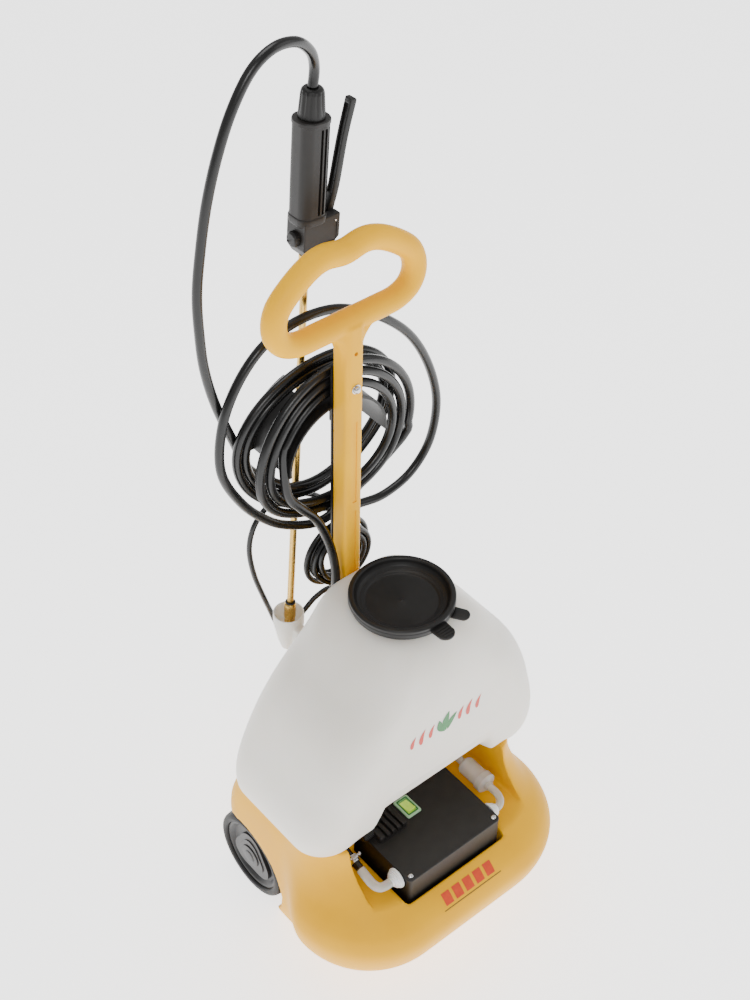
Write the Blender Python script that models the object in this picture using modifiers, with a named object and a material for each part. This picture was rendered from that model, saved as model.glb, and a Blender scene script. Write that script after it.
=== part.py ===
"""Wheeled sprayer cart: a moulded base on two wheels with a front pump bay, a tank that sits on it,
a T-post with a loop handle, a hose hanger, a gun with its lance, a spray hose and a supply lead.

Metres, +Z up. The cart's front faces -Y, its wheels' axle runs along X, and z = 0 is the floor.
"""

import math

import bmesh
import bpy
from mathutils import Matrix, Vector

# ---- driving dimensions ----
GAP = 0.0003                 # clearance between two pieces that touch
FRAME_Y = 0.0092             # moves the drawing so that the origin is the middle of its footprint

WALL = 0.004                 # moulded base
DECK_Z = 0.197               # floor of the pump bay
SEAT_Z = 0.279               # where the tank rests
BAY_HALF = 0.150             # half width of the pump bay
BAY_BACK_Y = 0.068
STEP_Y, STEP_Z = -0.062, 0.232   # a step left of the box, which the hose crosses
WELL_FLOOR_Z = 0.150         # floor of the well that holds the pump box

WHEEL_R = 0.075
WHEEL_Y = 0.1056
WHEEL_OUT_X = 0.184          # outer face of a wheel
WHEEL_W = 0.038
ARCH_R = 0.091
ARCH_IN_X = 0.139            # inner wall of a wheel arch
AXLE_R = 0.006

TANK_WALL = 0.0035
CHANNEL_HALF = 0.044         # groove down the back of the tank, for the post and the hose
CHANNEL_Y = 0.0735
ARCH_TOP_Z = 0.315           # underside of the tank over the pump bay
LIP_R = 0.065                # rounding of the tank's front where it turns under, over the bay
LIP_Y = -0.1185
NECK_TOP_Z = 0.642
FILLER = Vector((0.0, -0.025, 0.0))   # centre of the filler
DRAIN = (0.112, 0.030)
LID_R = 0.0734

POST_W, POST_D = 0.028, 0.032
POST_Y = 0.0930
POST_FOOT_Z = 0.152
LOOP_R = 0.016               # handle tube
LOOP_TILT = math.radians(4)
LOOP_Z = 1.035
BOLT_Z = 0.940

SADDLE_R = 0.083             # outer radius of the hose saddle
SADDLE_Z = 0.815
SADDLE_Y0, SADDLE_Y1 = 0.1093, 0.190

BOX_X0, BOX_X1 = -0.097, 0.083
BOX_Y0, BOX_Y1 = -0.173, -0.036
BOX_TOP_Z = 0.237
BOX_LID = 0.0045             # thickness of the box's lid
PORT_Z = 0.223               # pump ports

LANCE_FOOT = Vector((-0.052, 0.158, 0.5005))   # tip of the nozzle
LANCE_HEAD = Vector((0.0175, 0.182, 1.3113))   # top of the gun's hose nut

HOSE_R = 0.0065
LEAD_R = 0.004

YELLOW = (0.93, 0.53, 0.01)
BLACK = (0.022, 0.020, 0.019)
STEEL = (0.62, 0.62, 0.63)
BRASS = (0.60, 0.42, 0.14)
MILKY = (0.80, 0.77, 0.71)

for old in list(bpy.data.objects):
    bpy.data.objects.remove(old, do_unlink=True)

cart = bpy.data.collections.new("wheeled_sprayer_cart")
cutters = bpy.data.collections.new("cutters")
bpy.context.scene.collection.children.link(cart)
bpy.context.scene.collection.children.link(cutters)

root = bpy.data.objects.new("cart_frame", None)
root.location = (0.0, FRAME_Y, 0.0)
cart.objects.link(root)


# ---- helpers ----
def material(name, colour, roughness, metallic=0.0):
    """A plain Principled material."""
    made = bpy.data.materials.new(name)
    made.use_nodes = True
    shader = made.node_tree.nodes["Principled BSDF"]
    shader.inputs["Base Color"].default_value = (*colour, 1.0)
    shader.inputs["Roughness"].default_value = roughness
    shader.inputs["Metallic"].default_value = metallic
    return made


MAT = {
    "yellow": material("yellow_plastic", YELLOW, 0.42),
    "black": material("black_plastic", BLACK, 0.45),
    "rubber": material("black_rubber", BLACK, 0.75),
    "grey": material("grey_plastic", (0.09, 0.085, 0.085), 0.5),
    "milky": material("milky_plastic", MILKY, 0.4),
    "white": material("white_plastic", (0.85, 0.85, 0.83), 0.4),
    "steel": material("bright_steel", STEEL, 0.3, 1.0),
    "brass": material("brass", BRASS, 0.3, 1.0),
    "green": material("green_plastic", (0.35, 0.75, 0.05), 0.3),
}


def add(name, data, mat, place=(0, 0, 0), turn=(0, 0, 0), parent=None, into=None):
    """One object in the cart, or in the cutters when it has no material."""
    o = bpy.data.objects.new(name, data)
    (into or (cart if mat else cutters)).objects.link(o)
    o.location = place
    o.rotation_euler = turn
    o.parent = parent or root
    if mat:
        data.materials.append(MAT[mat])
    else:
        o.hide_render = True
        o.display_type = "WIRE"
    return o


def smooth(o, angle=35):
    o.data.shade_smooth()
    o.data.set_sharp_from_angle(angle=math.radians(angle))
    return o


def mesh_of(bm, name):
    bmesh.ops.recalc_face_normals(bm, faces=bm.faces)
    m = bpy.data.meshes.new(name)
    bm.to_mesh(m)
    bm.free()
    return m


def bevel(o, width, segments=2, angle=40):
    b = o.modifiers.new("edge", "BEVEL")
    b.width, b.segments = width, segments
    b.limit_method, b.angle_limit = "ANGLE", math.radians(angle)
    return o


def box(name, low, high, mat=None, round_=0.0, parent=None, segments=2):
    """A block between two corners, with its own origin at its middle."""
    low, high = Vector(low), Vector(high)
    bm = bmesh.new()
    bmesh.ops.create_cube(bm, size=1.0, matrix=Matrix.Diagonal((*(high - low), 1.0)))
    o = add(name, mesh_of(bm, name), mat, (low + high) / 2, parent=parent)
    return bevel(o, round_, segments) if round_ else o


def cylinder(name, r, depth, place, turn=(0, 0, 0), mat=None, sides=24, r2=None, parent=None):
    """A cylinder or cone along its own Z, centred on its place."""
    bm = bmesh.new()
    bmesh.ops.create_cone(
        bm, cap_ends=True, segments=sides, radius1=r, radius2=r if r2 is None else r2, depth=depth
    )
    return smooth(add(name, mesh_of(bm, name), mat, place, turn, parent))


def lathe(name, profile, mat=None, place=(0, 0, 0), turn=(0, 0, 0), steps=32, parent=None, ring=False):
    """A turned shape about its own Z. The profile is (radius, z), top to bottom on its outer side."""
    bm = bmesh.new()
    points = [bm.verts.new((r, 0.0, z)) for r, z in profile]
    for a, b in zip(points, points[1:]):
        bm.edges.new((a, b))
    if ring:
        bm.edges.new((points[-1], points[0]))
    m = bpy.data.meshes.new(name)
    bm.to_mesh(m)
    bm.free()
    o = add(name, m, mat, place, turn, parent)
    screw = o.modifiers.new("turned", "SCREW")
    screw.steps = screw.render_steps = steps
    screw.use_merge_vertices = True
    screw.merge_threshold = 0.00001
    screw.use_smooth_shade = True
    return o


def curve(name, points, radius, mat=None, sides_res=2, closed=False, parent=None, place=(0, 0, 0)):
    """A tube along points, as a curve with filled caps."""
    c = bpy.data.curves.new(name, "CURVE")
    c.dimensions = "3D"
    c.bevel_depth = radius
    c.bevel_resolution = sides_res
    c.use_fill_caps = not closed
    s = c.splines.new("POLY")
    s.points.add(len(points) - 1)
    for p, co in zip(s.points, points):
        p.co = (*co, 1.0)
    s.use_cyclic_u = closed
    return add(name, c, mat, place, parent=parent)


def slab(name, outlines, thick, mat=None, place=(0, 0, 0), turn=(0, 0, 0), parent=None):
    """A flat plate from closed 2-D outlines, as thick as said, centred on its place."""
    c = bpy.data.curves.new(name, "CURVE")
    c.dimensions = "2D"
    c.fill_mode = "BOTH"
    c.extrude = thick / 2
    for outline in outlines:
        s = c.splines.new("POLY")
        s.points.add(len(outline) - 1)
        for p, (x, y) in zip(s.points, outline):
            p.co = (x, y, 0.0, 1.0)
        s.use_cyclic_u = True
    return as_mesh(add(name, c, mat, place, turn, parent))


def as_mesh(o):
    """Turns a curve object into a welded mesh object of the same name."""
    bpy.context.view_layer.update()
    made = bpy.data.meshes.new_from_object(o.evaluated_get(bpy.context.evaluated_depsgraph_get()))
    bm = bmesh.new()
    bm.from_mesh(made)
    bmesh.ops.remove_doubles(bm, verts=bm.verts, dist=0.00001)
    bmesh.ops.recalc_face_normals(bm, faces=bm.faces)
    bm.to_mesh(made)
    bm.free()
    name, where, parent = o.name, o.matrix_local.copy(), o.parent
    into, hidden = o.users_collection[0], o.hide_render
    bpy.data.objects.remove(o, do_unlink=True)
    new = bpy.data.objects.new(name, made)
    into.objects.link(new)
    new.parent = parent
    new.matrix_local = where
    if hidden:
        new.hide_render = True
        new.display_type = "WIRE"
    return new


def boolean(o, other, operation):
    m = o.modifiers.new(f"{operation.lower()}_{other.name}"[:60], "BOOLEAN")
    m.object = other
    m.operation = operation
    return o


def cut(o, *others):
    for other in others:
        boolean(o, other, "DIFFERENCE")
    return o


def join(o, *others):
    for other in others:
        boolean(o, other, "UNION")
    return o


def loft(name, rings, mat=None, parent=None):
    """A closed body through closed rings of points, each with as many points as the next."""
    bm = bmesh.new()
    loops = [[bm.verts.new(p) for p in ring] for ring in rings]
    count = len(loops[0])
    for below, above in zip(loops, loops[1:]):
        for i in range(count):
            j = (i + 1) % count
            bm.faces.new((below[i], below[j], above[j], above[i]))
    bm.faces.new(loops[0])
    bm.faces.new(loops[-1])
    return smooth(add(name, mesh_of(bm, name), mat, parent=parent), 40)


def arc(cx, cy, r, start, end, count):
    """Points on an arc, angles in degrees, both ends included."""
    angles = [math.radians(start + (end - start) * i / (count - 1)) for i in range(count)]
    return [(cx + r * math.cos(a), cy + r * math.sin(a)) for a in angles]


def mirrored(half):
    """A closed outline from its right half, which runs from the front centre to the back centre."""
    return half + [(-x, y) for x, y in reversed(half[1:-1])]


def catmull(points, spacing, closed=False):
    """Points about `spacing` apart on the smooth curve through the given ones."""
    pts = [Vector(p) for p in points]
    n = len(pts)
    out = []
    for i in range(n if closed else n - 1):
        if closed:
            a, b, c, d = (pts[(i + k) % n] for k in (-1, 0, 1, 2))
        else:
            a, b = pts[max(i - 1, 0)], pts[i]
            c, d = pts[i + 1], pts[min(i + 2, n - 1)]
        steps = max(1, round((c - b).length / spacing))
        for k in range(steps):
            t = k / steps
            out.append(
                0.5 * (2 * b + (c - a) * t + (2 * a - 5 * b + 4 * c - d) * t**2
                       + (3 * b - a - 3 * c + d) * t**3)
            )
    return out if closed else out + [pts[-1]]


# ---- base ----
# height, half width at the front, front y, corner radius, half width at the back, back y
BASE_LEVELS = (
    (0.012, 0.180, -0.156, 0.100, 0.182, 0.128),
    (0.050, 0.200, -0.182, 0.115, 0.190, 0.146),
    (0.095, 0.223, -0.209, 0.130, 0.192, 0.160),
    (0.136, 0.232, -0.220, 0.138, 0.192, 0.166),
    (0.160, 0.228, -0.212, 0.134, 0.192, 0.166),
    (0.178, 0.218, -0.196, 0.124, 0.192, 0.165),
    (0.197, 0.206, -0.170, 0.110, 0.192, 0.162),
    (0.220, 0.198, -0.140, 0.090, 0.192, 0.154),
    (0.247, 0.195, -0.117, 0.078, 0.191, 0.142),
    (SEAT_Z, 0.195, -0.106, 0.070, 0.190, 0.132),
)
FLARE_END_Y = 0.012


def base_ring(z, half, front, corner, half_back, back, inset=0.0, z_to=None):
    """The base's outline at one height: round front corners, and sides that draw in to the wheels."""
    half, half_back, corner = half - inset, half_back - inset, corner - inset
    front, back = front + inset, back - inset
    right = [(0.0, front)] + arc(half - corner, front + corner, corner, -90, 0, 7)
    start = front + corner
    for k in (1, 2, 3, 4):
        t = k / 4
        ease = t * t * (3 - 2 * t)
        right.append((half + (half_back - half) * ease, start + (FLARE_END_Y - start) * t))
    right += arc(half_back - 0.045, back - 0.045, 0.045, 0, 90, 5) + [(0.0, back)]
    return [(x, y, z if z_to is None else z_to) for x, y in mirrored(right)]


def make_base():
    base = loft("base_shell", [base_ring(*level) for level in BASE_LEVELS], "yellow")
    hollow_rings = [base_ring(*BASE_LEVELS[0], inset=WALL, z_to=-0.010)]
    hollow_rings += [base_ring(*level, inset=WALL) for level in BASE_LEVELS[:-1]]
    hollow_rings += [base_ring(*BASE_LEVELS[-1], inset=WALL, z_to=SEAT_Z - WALL)]
    hollow = loft("base_hollow", hollow_rings)

    for grow, body in ((0.0, base), (WALL, hollow)):
        tag = "in" if grow else "out"
        for side in (-1, 1):
            inner = side * (ARCH_IN_X - grow)
            outer = side * 0.30
            cut(body, cylinder(
                f"arch_{tag}_{side + 1}", ARCH_R + grow, abs(outer - inner),
                ((inner + outer) / 2, WHEEL_Y, WHEEL_R), (0, math.pi / 2, 0), sides=40,
            ))
        bay = box(
            f"bay_{tag}", (-BAY_HALF - grow, -0.42, DECK_Z - grow), (BAY_HALF + grow, STEP_Y + grow, 0.36),
        )
        bay_back = box(
            f"bay_back_{tag}", (BOX_X0 - 0.010 - grow, -0.10, DECK_Z - grow),
            (BAY_HALF + grow, BAY_BACK_Y + grow, 0.36),
        )
        trough = box(
            f"trough_{tag}", (-BAY_HALF - grow, STEP_Y - 0.01, STEP_Z - grow), (0.0, BAY_BACK_Y + grow, 0.36),
        )
        hose_slot = box(
            f"hose_slot_{tag}", (-0.105 - grow, 0.02, DECK_Z - grow), (-0.0175 + grow, 0.116 + grow, 0.36),
        )
        lead_slot = box(
            f"lead_slot_{tag}", (0.0175 - grow, 0.02, DECK_Z - grow), (0.045 + grow, 0.118 + grow, 0.36),
        )
        well = box(
            f"well_{tag}", (BOX_X0 - 0.010 - grow, BOX_Y0 - 0.004 - grow, WELL_FLOOR_Z - grow),
            (BOX_X1 + 0.010 + grow, BOX_Y1 + 0.010 + grow, 0.30),
        )
        cut(body, bay, bay_back, trough, hose_slot, lead_slot, well)

    socket = (POST_W / 2 + 0.0006, POST_D / 2 + 0.0006)
    block = box(
        "socket_block", (-socket[0] - 0.005, BAY_BACK_Y + 0.001, 0.140),
        (socket[0] + 0.005, 0.30, 0.40),
    )
    cut(hollow, block)
    for side in (-1, 1):
        cut(hollow, cylinder(f"boss_{side + 1}", 0.014, 0.20, (side * 0.13, -0.105, 0.1163)))
    cut(base, hollow)
    cut(base, box(
        "socket_hole", (-socket[0], POST_Y - socket[1], POST_FOOT_Z - GAP), (socket[0], POST_Y + socket[1], 0.40),
    ))
    cut(base, cylinder("axle_hole", AXLE_R + GAP, 0.60, (0, WHEEL_Y, WHEEL_R), (0, math.pi / 2, 0), sides=20))
    cut(base, cylinder("screw_hole", 0.0033, 0.10, (0, 0.150, 0.215), (math.pi / 2, 0, 0), sides=16))
    return base


make_base()

for side, word in ((-1, "left"), (1, "right")):
    lathe(
        f"foot_{word}",
        [(0, 0.016), (0.0125, 0.016), (0.014, 0.0145), (0.0125, 0.0), (0, 0.0)],
        "rubber", (side * 0.13, -0.105, 0.0), steps=20,
    )

# ---- axle and wheels ----
cylinder("axle", AXLE_R, 2 * (WHEEL_OUT_X - 0.0035), (0, WHEEL_Y, WHEEL_R), (0, math.pi / 2, 0), "steel", 20)

RIM_R = 0.0600


def lobed(r, wave, count, points=48):
    """A wavy round outline."""
    out = []
    for i in range(points):
        a = 2 * math.pi * i / points
        q = r + wave * math.cos(count * a)
        out.append((q * math.cos(a), q * math.sin(a)))
    return out


def make_wheel(side, word):
    """A rim with a lobed face, its tyre, its cap and the push nut that holds it on the axle."""
    hub = bpy.data.objects.new(f"{word}_wheel_hub", None)
    cart.objects.link(hub)
    hub.parent = root
    hub.location = (side * WHEEL_OUT_X, WHEEL_Y, WHEEL_R)
    hub.rotation_euler = (0, side * math.pi / 2, 0)
    deep = -WHEEL_W
    tyre = [
        (RIM_R + GAP, -0.004), (0.068, -0.0005), (0.0725, -0.003), (WHEEL_R, -0.013),
        (WHEEL_R, deep + 0.013), (0.0725, deep + 0.003), (0.068, deep + 0.0005), (RIM_R + GAP, deep + 0.004),
    ]
    lathe(f"tyre_{word}", tyre, "rubber", steps=32, parent=hub, ring=True)
    rim = lathe(
        f"rim_{word}",
        [(0.0125, -0.012), (0.050, -0.012), (0.056, -0.006), (RIM_R, -0.0055), (RIM_R, deep + 0.0055),
         (0.056, deep + 0.006), (0.052, -0.020), (0.018, -0.020), (0.016, deep), (0.0065, deep),
         (0.0065, -0.0145), (0.0125, -0.0145)],
        "grey", steps=24, parent=hub, ring=True,
    )
    face = slab(f"{word}_wheel_face", [lobed(0.041, 0.005, 3, 30)], 0.010, place=(0, 0, -0.008), parent=hub)
    eye = cylinder(f"{word}_wheel_eye", 0.0128, 0.03, (0, 0, -0.008), sides=20, parent=hub)
    cut(join(rim, face), eye)
    lathe(
        f"hub_cap_{word}",
        [(0, 0.0), (0.010, 0.0), (0.0115, -0.0010), (0.0120, -0.0030), (0.0190, -0.0018), (0.0200, -0.0026),
         (0.0122, -0.0029), (0.0122, -0.0075), (0.0105, -0.0075), (0.0105, -0.0020), (0, -0.0016)],
        "grey", steps=16, parent=hub,
    )
    lathe(
        f"push_nut_{word}",
        [(0.0064, -0.0115), (0.0100, -0.0115), (0.0105, -0.0125), (0.0105, -0.0142), (0.0064, -0.0142)],
        "steel", steps=12, parent=hub, ring=True,
    )


make_wheel(-1, "left")
make_wheel(1, "right")

# ---- tank ----
# height, half width, front y, back y, corner radius
TANK_LEVELS = (
    (SEAT_Z + GAP, 0.2020, -0.082, 0.118, 0.040),
    (0.292, 0.2100, -0.099, 0.118, 0.048),
    (0.312, 0.2155, -0.110, 0.117, 0.054),
    (0.340, 0.2175, -0.117, 0.115, 0.058),
    (0.375, 0.2140, -0.121, 0.111, 0.062),
    (0.415, 0.2030, -0.124, 0.107, 0.064),
    (0.455, 0.1910, -0.126, 0.101, 0.066),
    (0.495, 0.1750, -0.126, 0.094, 0.068),
    (0.530, 0.1540, -0.126, 0.088, 0.068),
    (0.560, 0.1310, -0.123, 0.083, 0.066),
    (0.585, 0.1130, -0.117, 0.079, 0.062),
    (0.605, 0.0970, -0.108, 0.076, 0.054),
    (0.621, 0.0800, -0.096, 0.071, 0.046),
    (0.631, 0.0620, -0.082, 0.060, 0.036),
    (0.6355, 0.0400, -0.064, 0.042, 0.026),
)


def tank_ring(z, half, front, back, corner, inset=0.0, z_to=None):
    half, front, back, corner = half - inset, front + inset, back - inset, corner - inset * 0.6
    right = [(0.0, front)] + arc(half - corner, front + corner, corner, -90, 0, 6)
    right += arc(half - corner, back - corner, corner, 0, 90, 5) + [(0.0, back)]
    return [(x, y, z if z_to is None else z_to) for x, y in mirrored(right)]


def arch_cutter(name, grow):
    """The arch over the pump bay: a flat top that turns down into the two front lobes."""
    top, low = ARCH_TOP_Z + grow, 0.20
    half = [(0.0, top), (0.128 + grow, top)]
    half += arc(0.128 + grow, top - 0.030, 0.030, 90, 0, 6)[1:]
    half += [(0.158 + grow, low)]
    outline = half + [(-x, z) for x, z in reversed(half[1:])]
    depth = (-0.30, -0.020 + grow)
    return slab(
        name, [outline], depth[1] - depth[0], place=(0, sum(depth) / 2, 0), turn=(math.pi / 2, 0, 0)
    )


def lip_cutter(name, grow):
    """Rounds the tank's front where it turns under into the arch, and less and less towards the lobes."""
    rings = []
    for x in (-0.155, -0.143, -0.131, -0.119, -0.107, -0.095, 0.0, 0.095, 0.107, 0.119, 0.131, 0.143, 0.155):
        t = min(1.0, (0.155 - abs(x)) / 0.060)
        away = 1 - t * t * (3 - 2 * t)
        y0, z0 = LIP_Y - 0.030 * away, ARCH_TOP_Z - 0.001 - 0.110 * away
        curve_yz = arc(y0 + LIP_R, z0 + LIP_R, LIP_R - grow, 180, 270, 8)
        corners = [(y0 + LIP_R, 0.16), (-0.30, 0.16), (-0.30, z0 + LIP_R)]
        rings.append([(x, y, z) for y, z in curve_yz + corners])
    return loft(name, rings)


def make_tank():
    tank = loft("tank", [tank_ring(*level) for level in TANK_LEVELS], "milky")
    inner = [tank_ring(*TANK_LEVELS[0], inset=TANK_WALL, z_to=SEAT_Z + GAP + TANK_WALL)]
    inner += [tank_ring(*level, inset=TANK_WALL) for level in TANK_LEVELS[1:-2]]
    inner += [tank_ring(*TANK_LEVELS[-2], inset=TANK_WALL, z_to=0.631 - 0.002)]
    hollow = loft("tank_hollow", inner)
    for grow, body in ((0.0, tank), (TANK_WALL, hollow)):
        tag = "in" if grow else "out"
        groove = box(
            f"groove_{tag}", (-CHANNEL_HALF - grow, CHANNEL_Y - grow, 0.20),
            (CHANNEL_HALF + grow, 0.30, 0.70),
        )
        cut(body, arch_cutter(f"tank_arch_{tag}", grow), lip_cutter(f"tank_lip_{tag}", grow), groove)
    neck = cylinder("neck", 0.0600, NECK_TOP_Z - 0.600, (*FILLER.xy, (NECK_TOP_Z + 0.600) / 2), sides=40)
    bore = cylinder("bore", 0.0545, 0.08, (*FILLER.xy, 0.645), sides=40)
    seat = cylinder("bore_seat", 0.0566, 0.04, (*FILLER.xy, 0.652), sides=40)
    drain = cylinder("drain", 0.0063, 0.03, (*DRAIN, SEAT_Z), sides=16)
    join(tank, neck)
    cut(tank, hollow, bore, seat, drain)
    return tank


make_tank()

lathe(
    "filler_strainer",
    [(0, 0.577), (0.0502, 0.577), (0.0518, 0.6344), (0.0562, 0.6344), (0.0562, 0.6324), (0.0536, 0.6324),
     (0.0520, 0.575), (0, 0.575)],
    "white", (*FILLER.xy, 0.0), steps=24,
)


def tab_outline(reach, half, root_r):
    """A rounded finger tab that starts inside a ring of radius root_r and reaches out along +X."""
    tip = arc(reach - half, 0.0, half, -70, 70, 7)
    return [(root_r - 0.004, -half), *tip, (root_r - 0.004, half)]


ring = lathe(
    "filler_ring",
    [(0.0603, 0.6418), (0.0700, 0.6418), (0.0712, 0.6405), (0.0712, 0.6370), (0.0603, 0.6370)],
    "black", (*FILLER.xy, 0.0), steps=32, ring=True,
)
join(ring, slab(
    "ring_tab", [tab_outline(0.0955, 0.0105, 0.067)], 0.0032, place=(*FILLER.xy, 0.6394),
    turn=(0, 0, math.radians(-58)),
))

lid = lathe(
    "filler_lid",
    [(0, 0.6385), (0.0480, 0.6385), (0.0535, 0.6412), (0.0638, 0.6480), (0.0660, 0.6536), (0.0675, 0.6540),
     (0.0720, 0.6540), (LID_R, 0.6526), (LID_R, 0.6424), (0.0560, 0.6424), (0.0555, 0.6352), (0, 0.6352)],
    "black", (*FILLER.xy, 0.0), steps=36,
)
join(lid, slab(
    "lid_tab", [tab_outline(0.0985, 0.0135, 0.069)], 0.0040, place=(*FILLER.xy, 0.6452),
    turn=(0, 0, math.radians(-89)),
))

# ---- handle ----
# one side of the loop's centre line, from the bottom middle to the top middle: x and height
LOOP_HALF = (
    (0.0, 0.0), (0.045, 0.0), (0.078, 0.001), (0.101, 0.012), (0.1106, 0.034), (0.1040, 0.060),
    (0.0816, 0.081), (0.0540, 0.0975), (0.0300, 0.1030), (0.0, 0.0985),
)


def make_handle():
    loop = [(x, 0.0, z) for x, z in LOOP_HALF] + [(-x, 0.0, z) for x, z in reversed(LOOP_HALF[1:-1])]
    grip = as_mesh(curve("grip", catmull(loop, 0.020, closed=True), LOOP_R, sides_res=3, closed=True,
                         place=(0, 0.096, LOOP_Z)))
    grip.rotation_euler = (-LOOP_TILT, 0, 0)
    handle = box(
        "handle", (-POST_W / 2, POST_Y - POST_D / 2, POST_FOOT_Z), (POST_W / 2, POST_Y + POST_D / 2, LOOP_Z),
        "yellow", 0.006,
    )
    join(handle, grip)
    for low in (0.590, 0.745):
        groove = box(f"post_groove_{int(low * 1000)}", (-0.003, 0.060, low), (0.003, 0.0782, low + 0.140))
        cut(handle, groove)
    cut(handle, cylinder("post_bolt_hole", 0.0033, 0.08, (0, POST_Y, BOLT_Z), (math.pi / 2, 0, 0), sides=16))
    cut(handle, cylinder("post_screw_hole", 0.0033, 0.036, (0, 0.112, 0.215), (math.pi / 2, 0, 0), sides=16))
    return handle


make_handle()

FACE_FORWARD = (math.pi / 2, 0, 0)     # turns +Z to -Y
lathe(
    "hanger_bolt",
    [(0, 0.0052), (0.0026, 0.0050), (0.0046, 0.0036), (0.0052, 0.0016), (0.0052, 0.0003), (0.0030, 0.0003),
     (0.0030, -0.0420), (0, -0.0420)],
    "steel", (0, 0.0770 - 0.0012, BOLT_Z), FACE_FORWARD, 16,
)
lathe(
    "bolt_washer", [(0.0033, 0.0010), (0.0068, 0.0010), (0.0068, 0.0), (0.0033, 0.0)],
    "steel", (0, 0.0770 - GAP, BOLT_Z), FACE_FORWARD, 16, ring=True,
)


def hexagon(r):
    return [(r * math.cos(math.radians(60 * i)), r * math.sin(math.radians(60 * i))) for i in range(6)]


nut = slab("hanger_nut", [hexagon(0.0058)], 0.005, "steel", (0, 0.1155, BOLT_Z), FACE_FORWARD)
cut(nut, cylinder("nut_bore", 0.0033, 0.02, (0, 0.1155, BOLT_Z), FACE_FORWARD, sides=16))
lathe(
    "handle_screw",
    [(0, 0.0040), (0.0035, 0.0032), (0.0055, 0.0), (0.0030, 0.0), (0.0030, -0.060), (0, -0.060)],
    "steel", (0, 0.1590, 0.215), (-math.pi / 2, 0, 0), 20,
)


# ---- hose hanger ----
HOOK_X, HOOK_Z, HOOK_R = 0.008, 0.6316, 0.003


def half_ring(outer, inner, legs, count=17):
    up = arc(0.0, 0.0, outer, 0, 180, count)
    down = arc(0.0, 0.0, inner, 180, 0, count)
    return [(outer, -legs), *up, (-outer, -legs), (-inner, -legs), *down, (inner, -legs)]


def make_hanger():
    """A saddle that the hose hangs on, its rear flange, its plate on the post and a hook for the lead."""
    depth = SADDLE_Y1 - SADDLE_Y0
    hanger = slab(
        "hose_hanger", [half_ring(SADDLE_R, SADDLE_R - 0.0035, 0.004)], depth, "black",
        (0, SADDLE_Y0 + depth / 2, SADDLE_Z), FACE_FORWARD,
    )
    flange = slab(
        "hanger_flange", [half_ring(0.098, SADDLE_R - 0.002, 0.003)], 0.0035,
        place=(0, SADDLE_Y1 - 0.0019, SADDLE_Z), turn=FACE_FORWARD,
    )
    plate = box("hanger_plate", (-0.0125, SADDLE_Y0 + 0.0001, HOOK_Z - 0.008), (0.0125, SADDLE_Y0 + 0.0034, 0.962))
    hook = cylinder("lead_hook", HOOK_R, 0.0340, (HOOK_X, SADDLE_Y0 + 0.0180, HOOK_Z), FACE_FORWARD, sides=12)
    tip = cylinder("lead_hook_tip", HOOK_R - 0.0005, 0.016, (HOOK_X, 0.1433, HOOK_Z + 0.0065), sides=12)
    join(hanger, flange, plate, hook, tip)
    cut(hanger, box("lance_slot", (-0.0290, 0.1560, 0.86), (-0.0080, 0.25, 0.96)))
    cut(hanger, cylinder("hanger_hole", 0.0034, 0.02, (0, SADDLE_Y0, BOLT_Z), FACE_FORWARD, sides=16))
    return hanger


make_hanger()

# ---- pump box ----
SCREW_IN = 0.0085
BOX_SCREWS = tuple(
    (x, y)
    for y in (BOX_Y0 + SCREW_IN, BOX_Y1 - SCREW_IN)
    for x in (BOX_X0 + SCREW_IN, BOX_X1 - SCREW_IN)
)
PORT_Y = -0.147                       # outlet on the left, inlet on the right
SWITCH = (-0.0255, -0.0875, 0.0010, -0.0505)      # x, y, x, y of the switch's frame
LEFTWARD = (0, -math.pi / 2, 0)       # turns +Z to -X
RIGHTWARD = (0, math.pi / 2, 0)
BACKWARD = (-math.pi / 2, 0, 0)       # turns +Z to +Y
GLAND_X, GLAND_Z = 0.030, 0.208
HOOD_X = -0.0860                      # left face of the housing that carries the pressure knob
KNOB = (HOOD_X - GAP, -0.0730, BOX_TOP_Z + 0.0096)


def make_tub():
    top = BOX_TOP_Z - BOX_LID - GAP
    tub = box(
        "pump_box_tub", (BOX_X0 + 0.0006, BOX_Y0 + 0.0006, WELL_FLOOR_Z + GAP),
        (BOX_X1 - 0.0006, BOX_Y1 - 0.0006, top), "black", 0.004,
    )
    hollow = box(
        "tub_hollow", (BOX_X0 + 0.0034, BOX_Y0 + 0.0034, WELL_FLOOR_Z + 0.003),
        (BOX_X1 - 0.0034, BOX_Y1 - 0.0034, 0.30),
    )
    for i, (x, y) in enumerate(BOX_SCREWS):
        cut(hollow, cylinder(f"tub_pillar_{i}", 0.0058, 0.16, (x, y, 0.20), sides=10))
    cut(tub, hollow)
    for i, (x, y) in enumerate(BOX_SCREWS):
        cut(tub, cylinder(f"tub_pillar_hole_{i}", 0.0023, 0.030, (x, y, top), sides=12))
    cut(tub, cylinder("outlet_hole", 0.0083, 0.02, (BOX_X0, PORT_Y, PORT_Z), LEFTWARD, sides=20))
    cut(tub, cylinder("inlet_hole", 0.0083, 0.02, (BOX_X1, PORT_Y, PORT_Z), LEFTWARD, sides=20))
    cut(tub, cylinder("gland_hole", 0.0063, 0.02, (GLAND_X, BOX_Y1, GLAND_Z), BACKWARD, sides=20))
    return tub


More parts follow.
